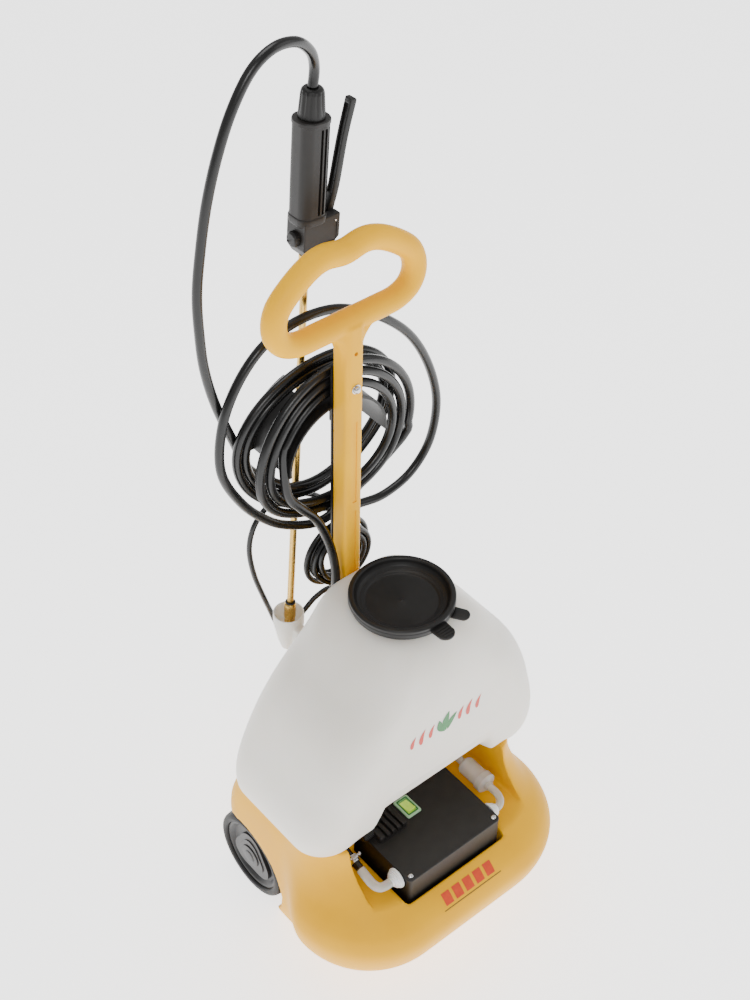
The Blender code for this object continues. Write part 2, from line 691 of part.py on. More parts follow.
def make_lid():
    """The flat lid, with a ribbed housing beside the switch that carries the pressure knob."""
    lid = box(
        "pump_box_lid", (BOX_X0, BOX_Y0, BOX_TOP_Z - BOX_LID), (BOX_X1, BOX_Y1, BOX_TOP_Z), "black", 0.0015,
    )
    join(lid, box("lid_hood", (HOOD_X, -0.0950, BOX_TOP_Z - 0.003), (-0.0340, -0.0510, BOX_TOP_Z + 0.0110)))
    for k in range(4):
        x = HOOD_X + 0.0090 + 0.0100 * k
        cut(lid, box(f"hood_groove_{k}", (x, -0.10, BOX_TOP_Z + 0.0060), (x + 0.0045, -0.040, 0.30)))
    x0, y0, x1, y1 = SWITCH
    cut(lid, box("switch_hole", (x0 + 0.0035, y0 + 0.0035, 0.20), (x1 - 0.0035, y1 - 0.0035, 0.26)))
    for i, (x, y) in enumerate(BOX_SCREWS):
        cut(lid, cylinder(f"lid_hole_{i}", 0.0023, 0.03, (x, y, BOX_TOP_Z), sides=12))
    cut(lid, cylinder("knob_hole", 0.0030, 0.016, KNOB, LEFTWARD, sides=16))
    return lid


def make_switch():
    x0, y0, x1, y1 = SWITCH
    top = BOX_TOP_Z + GAP
    frame = box("switch_frame", (x0, y0, top), (x1, y1, top + 0.0030), "green", 0.0008, segments=1)
    sleeve = box("switch_sleeve", (x0 + 0.0040, y0 + 0.0040, 0.2190), (x1 - 0.0040, y1 - 0.0040, top + 0.0010))
    opening = box("switch_opening", (x0 + 0.0055, y0 + 0.0055, 0.2205), (x1 - 0.0055, y1 - 0.0055, 0.26))
    cut(join(frame, sleeve), opening)
    pivot = bpy.data.objects.new("rocker_pivot", None)
    cart.objects.link(pivot)
    pivot.parent = root
    pivot.location = ((x0 + x1) / 2, (y0 + y1) / 2, top + 0.0005)
    half_x, half_y = (x1 - x0) / 2 - 0.0062, (y1 - y0) / 2 - 0.0078
    # a shallow V along Y: the raised half is the one that is pressed next
    side = [(-half_y, -0.0050), (half_y, -0.0050), (half_y, 0.0018), (0.0, 0.0030), (-half_y, 0.0062)]
    slab("switch_rocker", [side], 2 * half_x, "green", turn=(math.pi / 2, 0, math.pi / 2), parent=pivot)


make_tub()
make_lid()
make_switch()
for i, (x, y) in enumerate(BOX_SCREWS):
    lathe(
        f"box_screw_{i + 1}",
        [(0, 0.0028), (0.0022, 0.0025), (0.0040, 0.0012), (0.0042, GAP), (0.0020, GAP), (0.0020, -0.0120),
         (0, -0.0120)],
        "steel", (x, y, BOX_TOP_Z), steps=10,
    )
lathe(
    "pressure_knob",
    [(0, 0.0190), (0.0065, 0.0190), (0.0085, 0.0175), (0.0092, 0.0150), (0.0092, 0.0030), (0.0082, 0.0006),
     (0.0027, 0.0006), (0.0027, -0.0060), (0, -0.0060)],
    "black", KNOB, LEFTWARD, 18,
)

# the pump: a diaphragm head with its motor
cylinder("pump_motor", 0.0265, 0.083, (0.0335, -0.088, 0.1835), LEFTWARD, "black", 20)
box("pump_head", (-0.0810, -0.1250, 0.1570), (-0.0085, -0.0530, 0.2120), "grey", 0.005)


def port_profile(flange_r):
    """A ribbed bush: three steps down to a short spigot."""
    return [
        (0.0040, 0.0150), (0.0070, 0.0150), (0.0070, 0.0118), (0.0100, 0.0118), (0.0104, 0.0096),
        (flange_r - 0.0032, 0.0092), (flange_r - 0.0028, 0.0068), (flange_r - 0.0010, 0.0064),
        (flange_r, 0.0040), (flange_r, 0.0012), (0.0080, 0.0012), (0.0080, -0.0080), (0.0040, -0.0080),
    ]


lathe("outlet_bush", port_profile(0.0160), "white", (BOX_X0, PORT_Y, PORT_Z), LEFTWARD, 20, ring=True)
lathe("inlet_bush", port_profile(0.0145), "white", (BOX_X1, PORT_Y, PORT_Z), RIGHTWARD, 16, ring=True)

OUTLET_X = BOX_X0 - 0.0150 - GAP
curve("outlet_elbow", catmull(
    [(OUTLET_X, PORT_Y, PORT_Z), (OUTLET_X - 0.008, PORT_Y, PORT_Z), (-0.1300, -0.1440, 0.2240),
     (-0.1350, -0.1330, 0.2270), (-0.1350, -0.1080, 0.2325)], 0.006,
), 0.0072, "milky", sides_res=3)
INLET_X = BOX_X1 + 0.0150 + GAP
FILTER_X, FILTER_Y, FILTER_Z = 0.1170, -0.1130, 0.2240
curve("inlet_elbow", catmull(
    [(INLET_X, PORT_Y, PORT_Z), (INLET_X + 0.006, PORT_Y, PORT_Z), (0.1130, -0.1400, 0.2235),
     (FILTER_X, -0.1280, FILTER_Z), (FILTER_X, FILTER_Y - GAP, FILTER_Z)], 0.006,
), 0.0062, "milky", sides_res=3)
FILTER_LONG = 0.0700
lathe(
    "inlet_filter",
    [(0, FILTER_LONG), (0.0060, FILTER_LONG), (0.0062, 0.0600), (0.0125, 0.0575), (0.0150, 0.0540),
     (0.0150, 0.0200), (0.0172, 0.0190), (0.0172, 0.0080), (0.0140, 0.0060), (0.0075, 0.0045),
     (0.0075, 0), (0, 0)],
    "milky", (FILTER_X, FILTER_Y, FILTER_Z), BACKWARD, 16,
)
curve("suction_hose", catmull(
    [(FILTER_X, FILTER_Y + FILTER_LONG + GAP, FILTER_Z), (FILTER_X, -0.030, 0.2242), (0.1165, -0.008, 0.2250),
     (0.1150, 0.010, 0.2290), (0.1125, 0.0260, 0.2400), (*DRAIN, 0.2500), (*DRAIN, 0.2560)], 0.008,
), 0.0065, "milky", sides_res=3)
lathe(
    "tank_outlet",
    [(0.0036, 0.0080), (0.0060, 0.0080), (0.0060, 0.0), (0.0105, 0.0), (0.0110, -0.0020), (0.0110, -0.0050),
     (0.0065, -0.0055), (0.0058, -0.0225), (0.0036, -0.0225)],
    "black", (*DRAIN, SEAT_Z), steps=16, ring=True,
)


# ---- hose clamp, cable gland ----
def along(o, direction):
    """Turns an object so that its own Z follows a direction."""
    o.rotation_mode = "QUATERNION"
    o.rotation_quaternion = Vector(direction).to_track_quat("Z", "Y")
    return o


CLAMP_AT = Vector((-0.1350, -0.0920, 0.2360))
HOSE_OUT = Vector((0.0, 0.976, 0.218))
clamp = along(lathe(
    "hose_clamp",
    [(HOSE_R + 2 * GAP, 0.0045), (HOSE_R + 0.0018, 0.0045), (HOSE_R + 0.0018, -0.0045),
     (HOSE_R + 2 * GAP, -0.0045)],
    "steel", CLAMP_AT, steps=20, ring=True,
), HOSE_OUT)
screw_box = box("clamp_screw_box", (-0.1420, -0.0965, 0.2442), (-0.1290, -0.0880, 0.2490))
join(clamp, screw_box)

lathe(
    "cable_gland",
    [(LEAD_R + GAP, 0.0170), (0.0066, 0.0170), (0.0074, 0.0150), (0.0080, 0.0060), (0.0090, 0.0056),
     (0.0090, GAP + 0.0006), (0.0060, GAP + 0.0006), (0.0060, -0.0080), (LEAD_R + GAP, -0.0080)],
    "black", (GLAND_X, BOX_Y1 - 0.0006, GLAND_Z), BACKWARD, 16, ring=True,
)

# ---- gun and lance: drawn along +Z from the nozzle's tip, then leant ----
lance = bpy.data.objects.new("lance_axis", None)
cart.objects.link(lance)
lance.parent = root
lance.location = LANCE_FOOT
axis = (LANCE_HEAD - LANCE_FOOT).normalized()
side_x = (Vector((1, 0, 0)) - axis * axis.x).normalized()
lance_turn = Matrix((side_x, axis.cross(side_x), axis)).transposed()
lance.rotation_euler = lance_turn.to_euler()

TUBE_R = 0.0050
NOZZLE_LOW, NOZZLE_TOP = -0.0220, 0.0190
GUN_LOW, GUN_BODY, GUN_TOP = 0.5950, 0.6460, 0.7770
GUN_END = (LANCE_HEAD - LANCE_FOOT).length
LEVER_X, LEVER_Z = 0.0315, GUN_BODY - 0.0065     # the lever's pin
PLUG_X, PLUG_Z = -0.0170, GUN_LOW + 0.026        # the valve's plug on the block's side

lathe(
    "nozzle_nut",
    [(TUBE_R + GAP, NOZZLE_TOP), (0.0072, NOZZLE_TOP), (0.0086, 0.0165), (0.0086, -0.0060), (0.0078, -0.0085),
     (0.0078, -0.0180), (0.0062, NOZZLE_LOW), (0.0012, NOZZLE_LOW), (0.0012, -0.0120),
     (TUBE_R + GAP, -0.0110)],
    "brass", steps=16, parent=lance, ring=True,
)
lathe(
    "nozzle_oring",
    [(0.0053, 0.0222), (0.0072, 0.0222), (0.0078, 0.0208), (0.0072, 0.0194), (0.0053, 0.0194)],
    "rubber", steps=16, parent=lance, ring=True,
)
TUBE_LOW, TUBE_HIGH = -0.0100, GUN_LOW + 0.0295
cylinder(
    "lance_tube", TUBE_R, TUBE_HIGH - TUBE_LOW, (0, 0, (TUBE_HIGH + TUBE_LOW) / 2), (0, 0, 0), "brass", 16,
    parent=lance,
)
lathe(
    "lance_collar",
    [(TUBE_R + GAP, GUN_LOW - GAP), (0.0085, GUN_LOW - GAP), (0.0085, GUN_LOW - 0.0120),
     (0.0066, GUN_LOW - 0.0160), (TUBE_R + GAP, GUN_LOW - 0.0170)],
    "brass", steps=16, parent=lance, ring=True,
)


def rounded(half_x, half_y, corner, z):
    right = arc(half_x - corner, -(half_y - corner), corner, -90, 0, 5)
    right += arc(half_x - corner, half_y - corner, corner, 0, 90, 5)
    return [(x, y, z) for x, y in right + [(-x, y) for x, y in reversed(right)]]


def make_gun():
    """The grip with ribs on the trigger side, its valve block, and the bores for the lance and the hose."""
    gun = loft("gun_body", [
        rounded(0.0200, 0.0180, 0.012, GUN_BODY - 0.006), rounded(0.0212, 0.0190, 0.014, GUN_BODY + 0.004),
        rounded(0.0212, 0.0190, 0.014, GUN_TOP - 0.006), rounded(0.0230, 0.0208, 0.018, GUN_TOP - 0.0055),
        rounded(0.0230, 0.0208, 0.018, GUN_TOP - 0.0010), rounded(0.0215, 0.0193, 0.017, GUN_TOP),
    ], "black", parent=lance)
    outline = [
        (PLUG_X, GUN_BODY), (PLUG_X, GUN_LOW + 0.014), (-0.0080, GUN_LOW), (0.0130, GUN_LOW),
        (0.0380, GUN_LOW + 0.022), (0.0380, GUN_BODY + 0.0030),
    ]
    block = slab("valve_block", [outline], 0.0360, turn=FACE_FORWARD, parent=lance)
    bevel(block, 0.0015, 1)
    join(gun, block)
    for k in range(4):
        y = -0.0135 + 0.0090 * k
        cut(gun, box(
            f"gun_groove_{k}", (0.0175, y - 0.0018, GUN_BODY + 0.006), (0.040, y + 0.0018, GUN_TOP - 0.010),
            parent=lance,
        ))
    cut(gun, cylinder("gun_bore", TUBE_R + GAP, 0.060, (0, 0, GUN_LOW), sides=16, parent=lance))
    cut(gun, cylinder("hose_bore", 0.0105, 0.030, (0, 0, GUN_TOP), sides=20, parent=lance))
    cut(gun, box(
        "lever_fork", (0.0230, -0.0066, GUN_BODY - 0.0150), (0.0480, 0.0066, GUN_BODY + 0.030), parent=lance,
    ))
    cut(gun, cylinder("pin_bore", 0.0018, 0.05, (LEVER_X, 0, LEVER_Z), FACE_FORWARD, sides=12, parent=lance))
    cut(gun, cylinder("plug_bore", 0.0070, 0.020, (PLUG_X, 0, PLUG_Z), LEFTWARD, sides=16, parent=lance))
    return gun


make_gun()


def make_lever():
    """A long trigger lever that leans away from the grip, turning on a pin in the valve block."""
    pivot = bpy.data.objects.new("lever_pivot", None)
    cart.objects.link(pivot)
    pivot.parent = lance
    pivot.location = (LEVER_X, 0, LEVER_Z)
    outline = [
        (-0.0040, -0.0050), (0.0040, -0.0050), (0.0058, 0.0100), (0.0100, 0.0260), (0.0140, 0.0450),
        (0.0225, 0.1000), (0.0330, 0.1430), (0.0300, 0.1480), (0.0225, 0.1480), (0.0130, 0.1000),
        (0.0040, 0.0450), (0.0, 0.0260), (-0.0040, 0.0100),
    ]
    lever = slab("gun_lever", [outline], 0.0124, "black", turn=FACE_FORWARD, parent=pivot)
    cut(lever, cylinder("lever_bore", 0.0018, 0.05, (0, 0, 0), FACE_FORWARD, sides=12, parent=pivot))
    cylinder("lever_pin", 0.0015, 0.0350, (LEVER_X, 0, LEVER_Z), FACE_FORWARD, "steel", 12, parent=lance)


make_lever()
lathe(
    "valve_plug",
    [(0, 0.0075), (0.0080, 0.0075), (0.0100, 0.0060), (0.0105, 0.0040), (0.0105, GAP), (0.0067, GAP),
     (0.0067, -0.0090), (0, -0.0090)],
    "black", (PLUG_X, 0, PLUG_Z), LEFTWARD, 16, parent=lance,
)
nut_top = GUN_END - GAP
lathe(
    "hose_nut",
    [(HOSE_R + GAP, nut_top), (0.0120, nut_top), (0.0150, nut_top - 0.0050), (0.0168, GUN_TOP + 0.0010),
     (0.0168, GUN_TOP + GAP), (0.0102, GUN_TOP + GAP), (0.0102, GUN_TOP - 0.0130),
     (HOSE_R + GAP, GUN_TOP - 0.0130)],
    "black", steps=20, parent=lance, ring=True,
)

# ---- lance cup on the tank's back ----
CUP = Vector((-0.0560, 0.1560, 0.0))
cup = lathe(
    "lance_cup",
    [(0, 0.4740), (0.0170, 0.4760), (0.0200, 0.4860), (0.0205, 0.5060), (0.0225, 0.5060), (0.0230, 0.5000),
     (0.0225, 0.4850), (0.0170, 0.4550), (0.0125, 0.4380), (0, 0.4360)],
    "milky", (*CUP.xy, 0.0), steps=20,
)


def back_of_tank(z):
    """The tank's back face between two of its levels."""
    for low, high in zip(TANK_LEVELS, TANK_LEVELS[1:]):
        if low[0] <= z <= high[0]:
            return low[3] + (high[3] - low[3]) * (z - low[0]) / (high[0] - low[0])
    raise ValueError(z)


arm = [
    [(CUP.x - 0.009, back_of_tank(z) + GAP, z), (CUP.x + 0.009, back_of_tank(z) + GAP, z),
     (CUP.x + 0.009, CUP.y - 0.016, z), (CUP.x - 0.009, CUP.y - 0.016, z)]
    for z in (0.4580, 0.4930)
]
join(cup, loft("cup_arm", arm))

# ---- spray hose ----
RING_Y0, RING_Y1 = 0.1190, 0.1555
RING_OUT = (0.140, 0.128, 0.831)      # half width, half height and centre height of the hank's outline
RING_IN = (0.0865, 0.0735, 0.826)


def oval(half_x, half_z, z, count=40):
    return [
        (half_x * math.cos(2 * math.pi * i / count), z + half_z * math.sin(2 * math.pi * i / count))
        for i in range(count)
    ]


slab(
    "spray_hose_hank", [oval(*RING_OUT), oval(*RING_IN)], RING_Y1 - RING_Y0, "rubber",
    (0, (RING_Y0 + RING_Y1) / 2, 0), FACE_FORWARD,
)
HOSE_STEP = 0.034
hose_base = CLAMP_AT - 0.0140 * HOSE_OUT
HOSE_DROP = [
    tuple(LANCE_HEAD), (0.0205, 0.1825, 1.3350), (0.0080, 0.1740, 1.3620), (-0.0200, 0.1640, 1.3860),
    (-0.0560, 0.1580, 1.3920), (-0.0890, 0.1560, 1.3755), (-0.1175, 0.1555, 1.3365), (-0.1395, 0.1555, 1.2880),
    (-0.1565, 0.1555, 1.2355), (-0.1685, 0.1555, 1.1800), (-0.1775, 0.1555, 1.1200), (-0.1775, 0.1560, 1.0600),
    (-0.1715, 0.1590, 1.0030), (-0.1560, 0.1625, 0.9380), (-0.1310, 0.1635, 0.8640), (-0.1060, 0.1630, 0.7970),
    (-0.0880, 0.1628, 0.7620),
]
HOSE_LOOP = [
    (-0.0190, 0.155, 0.6955), (-0.0060, 0.155, 0.6860), (0.0180, 0.1555, 0.6705), (0.0480, 0.1550, 0.6540),
    (0.0780, 0.1520, 0.6465), (0.1160, 0.148, 0.6445), (0.1630, 0.147, 0.6600), (0.1980, 0.147, 0.7020),
    (0.2080, 0.147, 0.7685), (0.1910, 0.147, 0.8395), (0.1560, 0.147, 0.9075), (0.1100, 0.148, 0.9580),
    (0.0560, 0.149, 0.9970), (0.0110, 0.150, 1.0160), (-0.0400, 0.150, 1.0200), (-0.0920, 0.149, 1.0060),
    (-0.1340, 0.148, 0.9660), (-0.1600, 0.147, 0.9100), (-0.1640, 0.147, 0.8400), (-0.1340, 0.147, 0.7700),
    (-0.0920, 0.147, 0.7150), (-0.0540, 0.146, 0.6850), (-0.0120, 0.143, 0.6680), (0.0220, 0.1415, 0.6730),
    (0.0460, 0.1415, 0.6870), (0.0575, 0.1415, 0.7065),
]
HOSE_FEED = [
    (-0.0940, 0.1088, 0.7950), (-0.0870, 0.1080, 0.7800), (-0.0700, 0.1060, 0.7560), (-0.0460, 0.1010, 0.7230),
    (-0.0300, 0.0950, 0.6760), (-0.0248, 0.0885, 0.6340), (-0.0245, 0.0865, 0.6000), (-0.0245, 0.0885, 0.5300),
    (-0.0245, 0.0930, 0.4500), (-0.0245, 0.0965, 0.3700), (-0.0252, 0.0975, 0.3350), (-0.0280, 0.0975, 0.3030),
    (-0.0350, 0.0960, 0.2770), (-0.0500, 0.0890, 0.2570), (-0.0740, 0.0770, 0.2500), (-0.1000, 0.0560, 0.2470),
    (-0.1200, 0.0260, 0.2465), (-0.1300, -0.0050, 0.2460), (-0.1340, -0.0360, 0.2440), (-0.1350, -0.0640, 0.2422),
    tuple(CLAMP_AT), tuple(hose_base),
]
curve("spray_hose_drop", catmull(HOSE_DROP, HOSE_STEP), HOSE_R, "rubber")
curve("spray_hose_loop", catmull(HOSE_LOOP, HOSE_STEP), HOSE_R, "rubber")
curve("spray_hose_feed", catmull(HOSE_FEED, HOSE_STEP), HOSE_R, "rubber")

# ---- supply lead ----
COIL = Vector((0.016, 0.1265, 0.603))
COIL_R, COIL_THICK, COIL_DEEP = 0.045, 0.024, 0.026
COIL_IN, COIL_OUT = COIL_R - COIL_THICK / 2, COIL_R + COIL_THICK / 2
lathe(
    "supply_lead_coil",
    [(COIL_IN, COIL_DEEP / 2), (COIL_OUT - 0.004, COIL_DEEP / 2), (COIL_OUT, COIL_DEEP / 2 - 0.004),
     (COIL_OUT, 0.004 - COIL_DEEP / 2), (COIL_OUT - 0.004, -COIL_DEEP / 2), (COIL_IN, -COIL_DEEP / 2)],
    "rubber", COIL, FACE_FORWARD, 28, ring=True,
)
LEAD_STEP = 0.026
LEAD_ROUTE = [
    (GLAND_X, BOX_Y1 - 0.0086, GLAND_Z), (GLAND_X, BOX_Y1 + 0.020, GLAND_Z), (0.0300, 0.020, 0.2040),
    (0.0300, 0.060, 0.2040), (0.0292, 0.086, 0.2110), (0.0280, 0.1035, 0.2310), (0.0272, 0.1105, 0.2620),
    (0.0275, 0.1120, 0.3000), (0.0310, 0.1155, 0.3450), (0.0400, 0.1260, 0.3950), (0.0520, 0.1450, 0.4370),
    (0.0560, 0.1680, 0.4620), (0.0450, 0.1840, 0.4690), (0.0220, 0.1900, 0.4600), (0.0010, 0.1905, 0.4460),
    (-0.0160, 0.1900, 0.4350), (-0.0330, 0.1875, 0.4300), (-0.0480, 0.1855, 0.4400), (-0.0590, 0.1850, 0.4650),
    (-0.0690, 0.1845, 0.4970), (-0.0800, 0.1820, 0.5300), (-0.0970, 0.1800, 0.5890), (-0.1040, 0.1790, 0.6420),
    (-0.0970, 0.1780, 0.6790), (-0.0790, 0.1775, 0.7020), (-0.0550, 0.1770, 0.7110), (-0.0300, 0.1770, 0.7080),
    (-0.0070, 0.1760, 0.6960), (0.0160, 0.1750, 0.6780), (0.0340, 0.1740, 0.6540), (0.0420, 0.1700, 0.6290),
    (0.0500, 0.1600, 0.6080), (0.0528, 0.1490, 0.5962), (0.0532, 0.1416, 0.5930),
]
curve("supply_lead", catmull(LEAD_ROUTE, LEAD_STEP), LEAD_R, "rubber")
TAIL = [(0.0444, 0.1405, 0.5576), (0.0444, 0.1455, 0.5576), (0.0422, 0.1525, 0.5480), (0.0400, 0.1545, 0.5360),
        (0.0400, 0.1545, 0.5280)]
curve("supply_lead_tail", catmull(TAIL, 0.010), LEAD_R, "rubber")


def make_plug():
    """A moulded two-pin plug that hangs on the lead's end."""
    plug = loft("supply_plug", [
        rounded(0.0060, 0.0055, 0.004, 0.0), rounded(0.0085, 0.0062, 0.004, -0.0120),
        rounded(0.0175, 0.0068, 0.004, -0.0200), rounded(0.0175, 0.0068, 0.004, -0.0360),
    ], "black")
    plug.location = (0.0400, 0.1545, 0.5280 - 2 * GAP)
    for k in (-1, 1):
        pin = cylinder(f"plug_pin_{k + 1}", 0.0020, 0.024, (0.0400 + k * 0.0095, 0.1545, 0.4860), sides=10)
        join(plug, pin)


make_plug()
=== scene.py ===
import math

import bmesh
import bpy
from mathutils import Euler, Matrix, Vector
from mathutils.bvhtree import BVHTree


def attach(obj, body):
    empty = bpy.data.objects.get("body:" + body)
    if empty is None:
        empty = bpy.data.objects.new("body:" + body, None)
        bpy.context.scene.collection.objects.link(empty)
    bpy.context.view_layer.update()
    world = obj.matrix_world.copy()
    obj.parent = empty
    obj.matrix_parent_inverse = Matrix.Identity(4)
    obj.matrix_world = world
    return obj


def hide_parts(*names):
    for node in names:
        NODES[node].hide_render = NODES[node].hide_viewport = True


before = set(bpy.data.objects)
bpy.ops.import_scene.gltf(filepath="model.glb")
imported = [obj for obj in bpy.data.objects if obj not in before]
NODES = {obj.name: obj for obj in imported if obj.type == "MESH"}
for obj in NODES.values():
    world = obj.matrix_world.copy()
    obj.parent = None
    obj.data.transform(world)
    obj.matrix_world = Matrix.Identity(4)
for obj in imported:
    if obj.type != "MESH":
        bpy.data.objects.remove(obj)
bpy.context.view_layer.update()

# Wheeled sprayer cart. Metres, +Z up, front towards -Y. Shapes are drawn in the drawing's own frame and
# moved by FRAME_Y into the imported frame.
GAP = 0.0003
FRAME_Y = 0.0092
SHIFT = Matrix.Translation((0.0, FRAME_Y, 0.0))

BASE_WALL = 0.009
DECK_Z = 0.197
SEAT_Z = 0.279
BAY_HALF = 0.150
BAY_BACK_Y = 0.068
STEP_Y, STEP_Z = -0.062, 0.232
WELL_FLOOR_Z = 0.150
WHEEL_R, WHEEL_Y = 0.075, 0.1056
WHEEL_OUT_X, WHEEL_W = 0.184, 0.038
ARCH_R, ARCH_IN_X = 0.091, 0.139
AXLE_R = 0.006
RIM_R = 0.0600
CHANNEL_HALF, CHANNEL_Y = 0.044, 0.0735
ARCH_TOP_Z, NECK_TOP_Z = 0.315, 0.642
LIP_R, LIP_Y = 0.065, -0.1185
FILLER_Y = -0.025
LID_R = 0.0734
RING_TAB_TURN, LID_TAB_TURN = math.radians(-58), math.radians(-89)
POST_W, POST_D, POST_Y, POST_FOOT_Z = 0.028, 0.032, 0.0930, 0.152
LOOP_R, LOOP_TILT, LOOP_Z = 0.016, math.radians(4), 1.035
BOLT_Z = 0.940
SADDLE_R, SADDLE_Z = 0.083, 0.815
SADDLE_Y0, SADDLE_Y1 = 0.1093, 0.190
HOOK_X, HOOK_Z, HOOK_R = 0.008, 0.6316, 0.003
RIB_Z = SADDLE_Z + 0.0420
BOX_X0, BOX_X1 = -0.097, 0.083
BOX_Y0, BOX_Y1 = -0.173, -0.036
BOX_TOP_Z, BOX_LID = 0.237, 0.0045
PORT_Y, PORT_Z = -0.147, 0.223
SWITCH = (-0.0255, -0.0875, 0.0010, -0.0505)
HOOD_X = -0.0860
KNOB = (HOOD_X - GAP, -0.0730, BOX_TOP_Z + 0.0096)
GLAND_X, GLAND_Z = 0.030, 0.208
LANCE_FOOT = Vector((-0.052, 0.158, 0.5005))
LANCE_HEAD = Vector((0.0175, 0.182, 1.3113))
HOSE_R, LEAD_R = 0.0065, 0.004
CLAMP_AT = Vector((-0.1350, -0.0920, 0.2360))
HOSE_OUT = Vector((0.0, 0.976, 0.218))
TUBE_R = 0.0050
GUN_LOW, GUN_BODY, GUN_TOP = 0.5950, 0.6460, 0.7770
GUN_END = (LANCE_HEAD - LANCE_FOOT).length
LEVER_X, LEVER_Z = 0.0315, GUN_BODY - 0.0065
PLUG_X, PLUG_Z = -0.0170, GUN_LOW + 0.026

LEFTWARD = (0, -math.pi / 2, 0)
RIGHTWARD = (0, math.pi / 2, 0)
BACKWARD = (-math.pi / 2, 0, 0)
FORWARD = (math.pi / 2, 0, 0)

# ---- camera ----
camera_data = bpy.data.cameras.new("camera")
camera = bpy.data.objects.new("camera", camera_data)
bpy.context.scene.collection.objects.link(camera)
camera_data.sensor_width = 36.0
camera_data.lens = 59.614
camera_data.clip_end = 50.0
CAMERA_AXES = ((0.76477, -0.64406, 0.01768), (0.42551, 0.52548, 0.73675), (-0.48381, -0.55592, 0.67593))
camera.matrix_world = Matrix.Translation((-1.05275, -1.16519, 2.25040)) @ (
    Matrix(CAMERA_AXES).transposed().to_4x4()
)
bpy.context.scene.camera = camera


# ---- materials ----
def surface(name, dark, light, rough, scale=60.0, grain=900.0, relief=0.0, metallic=0.0, **levels):
    """A Principled material. Two noises in the object's own space vary its colour, gloss and relief."""
    m = bpy.data.materials.new(name)
    m.use_nodes = True
    nodes, links = m.node_tree.nodes, m.node_tree.links
    shader = nodes["Principled BSDF"]
    where = nodes.new("ShaderNodeTexCoord")
    cloud = nodes.new("ShaderNodeTexNoise")
    cloud.inputs["Scale"].default_value = scale
    cloud.inputs["Detail"].default_value = 5.0
    links.new(where.outputs["Object"], cloud.inputs["Vector"])
    spread = nodes.new("ShaderNodeValToRGB")
    spread.color_ramp.elements[0].position = 0.30
    spread.color_ramp.elements[1].position = 0.70
    spread.color_ramp.elements[0].color = (*dark, 1.0)
    spread.color_ramp.elements[1].color = (*light, 1.0)
    links.new(cloud.outputs["Fac"], spread.inputs["Fac"])
    links.new(spread.outputs["Color"], shader.inputs["Base Color"])
    fine = nodes.new("ShaderNodeTexNoise")
    fine.inputs["Scale"].default_value = grain
    fine.inputs["Detail"].default_value = 3.0
    links.new(where.outputs["Object"], fine.inputs["Vector"])
    gloss = nodes.new("ShaderNodeMapRange")
    gloss.inputs["To Min"].default_value = max(0.03, rough - 0.07)
    gloss.inputs["To Max"].default_value = rough + 0.07
    links.new(cloud.outputs["Fac"], gloss.inputs["Value"])
    links.new(gloss.outputs["Result"], shader.inputs["Roughness"])
    if relief:
        bump = nodes.new("ShaderNodeBump")
        bump.inputs["Strength"].default_value = relief
        bump.inputs["Distance"].default_value = 0.0004
        links.new(fine.outputs["Fac"], bump.inputs["Height"])
        links.new(bump.outputs["Normal"], shader.inputs["Normal"])
    shader.inputs["Metallic"].default_value = metallic
    for key, value in levels.items():
        shader.inputs[key.replace("_", " ")].default_value = value
    return m


YELLOW = surface("yellow", (0.86, 0.42, 0.0), (0.92, 0.47, 0.0), 0.46, 14, 700, 0.10,
                 Specular_IOR_Level=0.12)
MILKY = surface(
    "milky", (0.80, 0.76, 0.68), (0.86, 0.82, 0.75), 0.42, 9, 500, 0.08,
    Subsurface_Weight=0.35, Subsurface_Scale=0.02, Subsurface_Radius=(1.0, 0.8, 0.6),
)
BLACK = surface("black", (0.0050, 0.0046, 0.0043), (0.0085, 0.0078, 0.0072), 0.42, 40, 1500, 0.20,
                Specular_IOR_Level=0.35)
BLACK_GRAINED = surface("black_grained", (0.0095, 0.0082, 0.0074), (0.015, 0.013, 0.012), 0.48, 60, 1100,
                        0.4,
                        Specular_IOR_Level=0.35)
HOSE_BLACK = surface("hose_black", (0.0035, 0.0035, 0.0035), (0.0065, 0.0062, 0.0060), 0.27, 30, 800, 0.10,
                     Specular_IOR_Level=0.40)
RUBBER = surface("rubber", (0.006, 0.006, 0.006), (0.011, 0.011, 0.011), 0.62, 50, 1200, 0.35)
TYRE = surface("tyre", (0.006, 0.006, 0.0065), (0.011, 0.011, 0.0115), 0.55, 40, 1200, 0.4,
               Specular_IOR_Level=0.35)
GREY = surface("grey", (0.018, 0.017, 0.018), (0.030, 0.029, 0.030), 0.42, 40, 1200, 0.3,
               Specular_IOR_Level=0.40)
WHITE = surface("white", (0.80, 0.80, 0.78), (0.86, 0.86, 0.84), 0.34, 50, 900, 0.1, Subsurface_Weight=0.1,
                Subsurface_Scale=0.004)
CLEAR = surface("clear", (0.78, 0.76, 0.70), (0.86, 0.84, 0.80), 0.20, 60, 900, 0.08,
                Transmission_Weight=0.55,
                IOR=1.45, Subsurface_Weight=0.2, Subsurface_Scale=0.004)
STEEL = surface("steel", (0.52, 0.52, 0.53), (0.68, 0.68, 0.69), 0.26, 120, 1600, 0.15, metallic=1.0)
BRASS = surface("brass", (0.58, 0.36, 0.085), (0.72, 0.47, 0.13), 0.28, 90, 1500, 0.12, metallic=1.0)
PALE_GREEN = surface("pale_green", (0.30, 0.52, 0.30), (0.38, 0.60, 0.36), 0.30, 90, 900, 0.05)
DARK_GREEN = surface("dark_green", (0.020, 0.13, 0.02), (0.030, 0.18, 0.03), 0.30, 90, 900, 0.05)
GLOW_GREEN = surface("glow_green", (0.45, 0.74, 0.06), (0.62, 0.84, 0.10), 0.22, 120, 900, 0.03,
                     Coat_Weight=0.4,
                     Emission_Color=(0.5, 0.8, 0.1, 1.0), Emission_Strength=0.25)
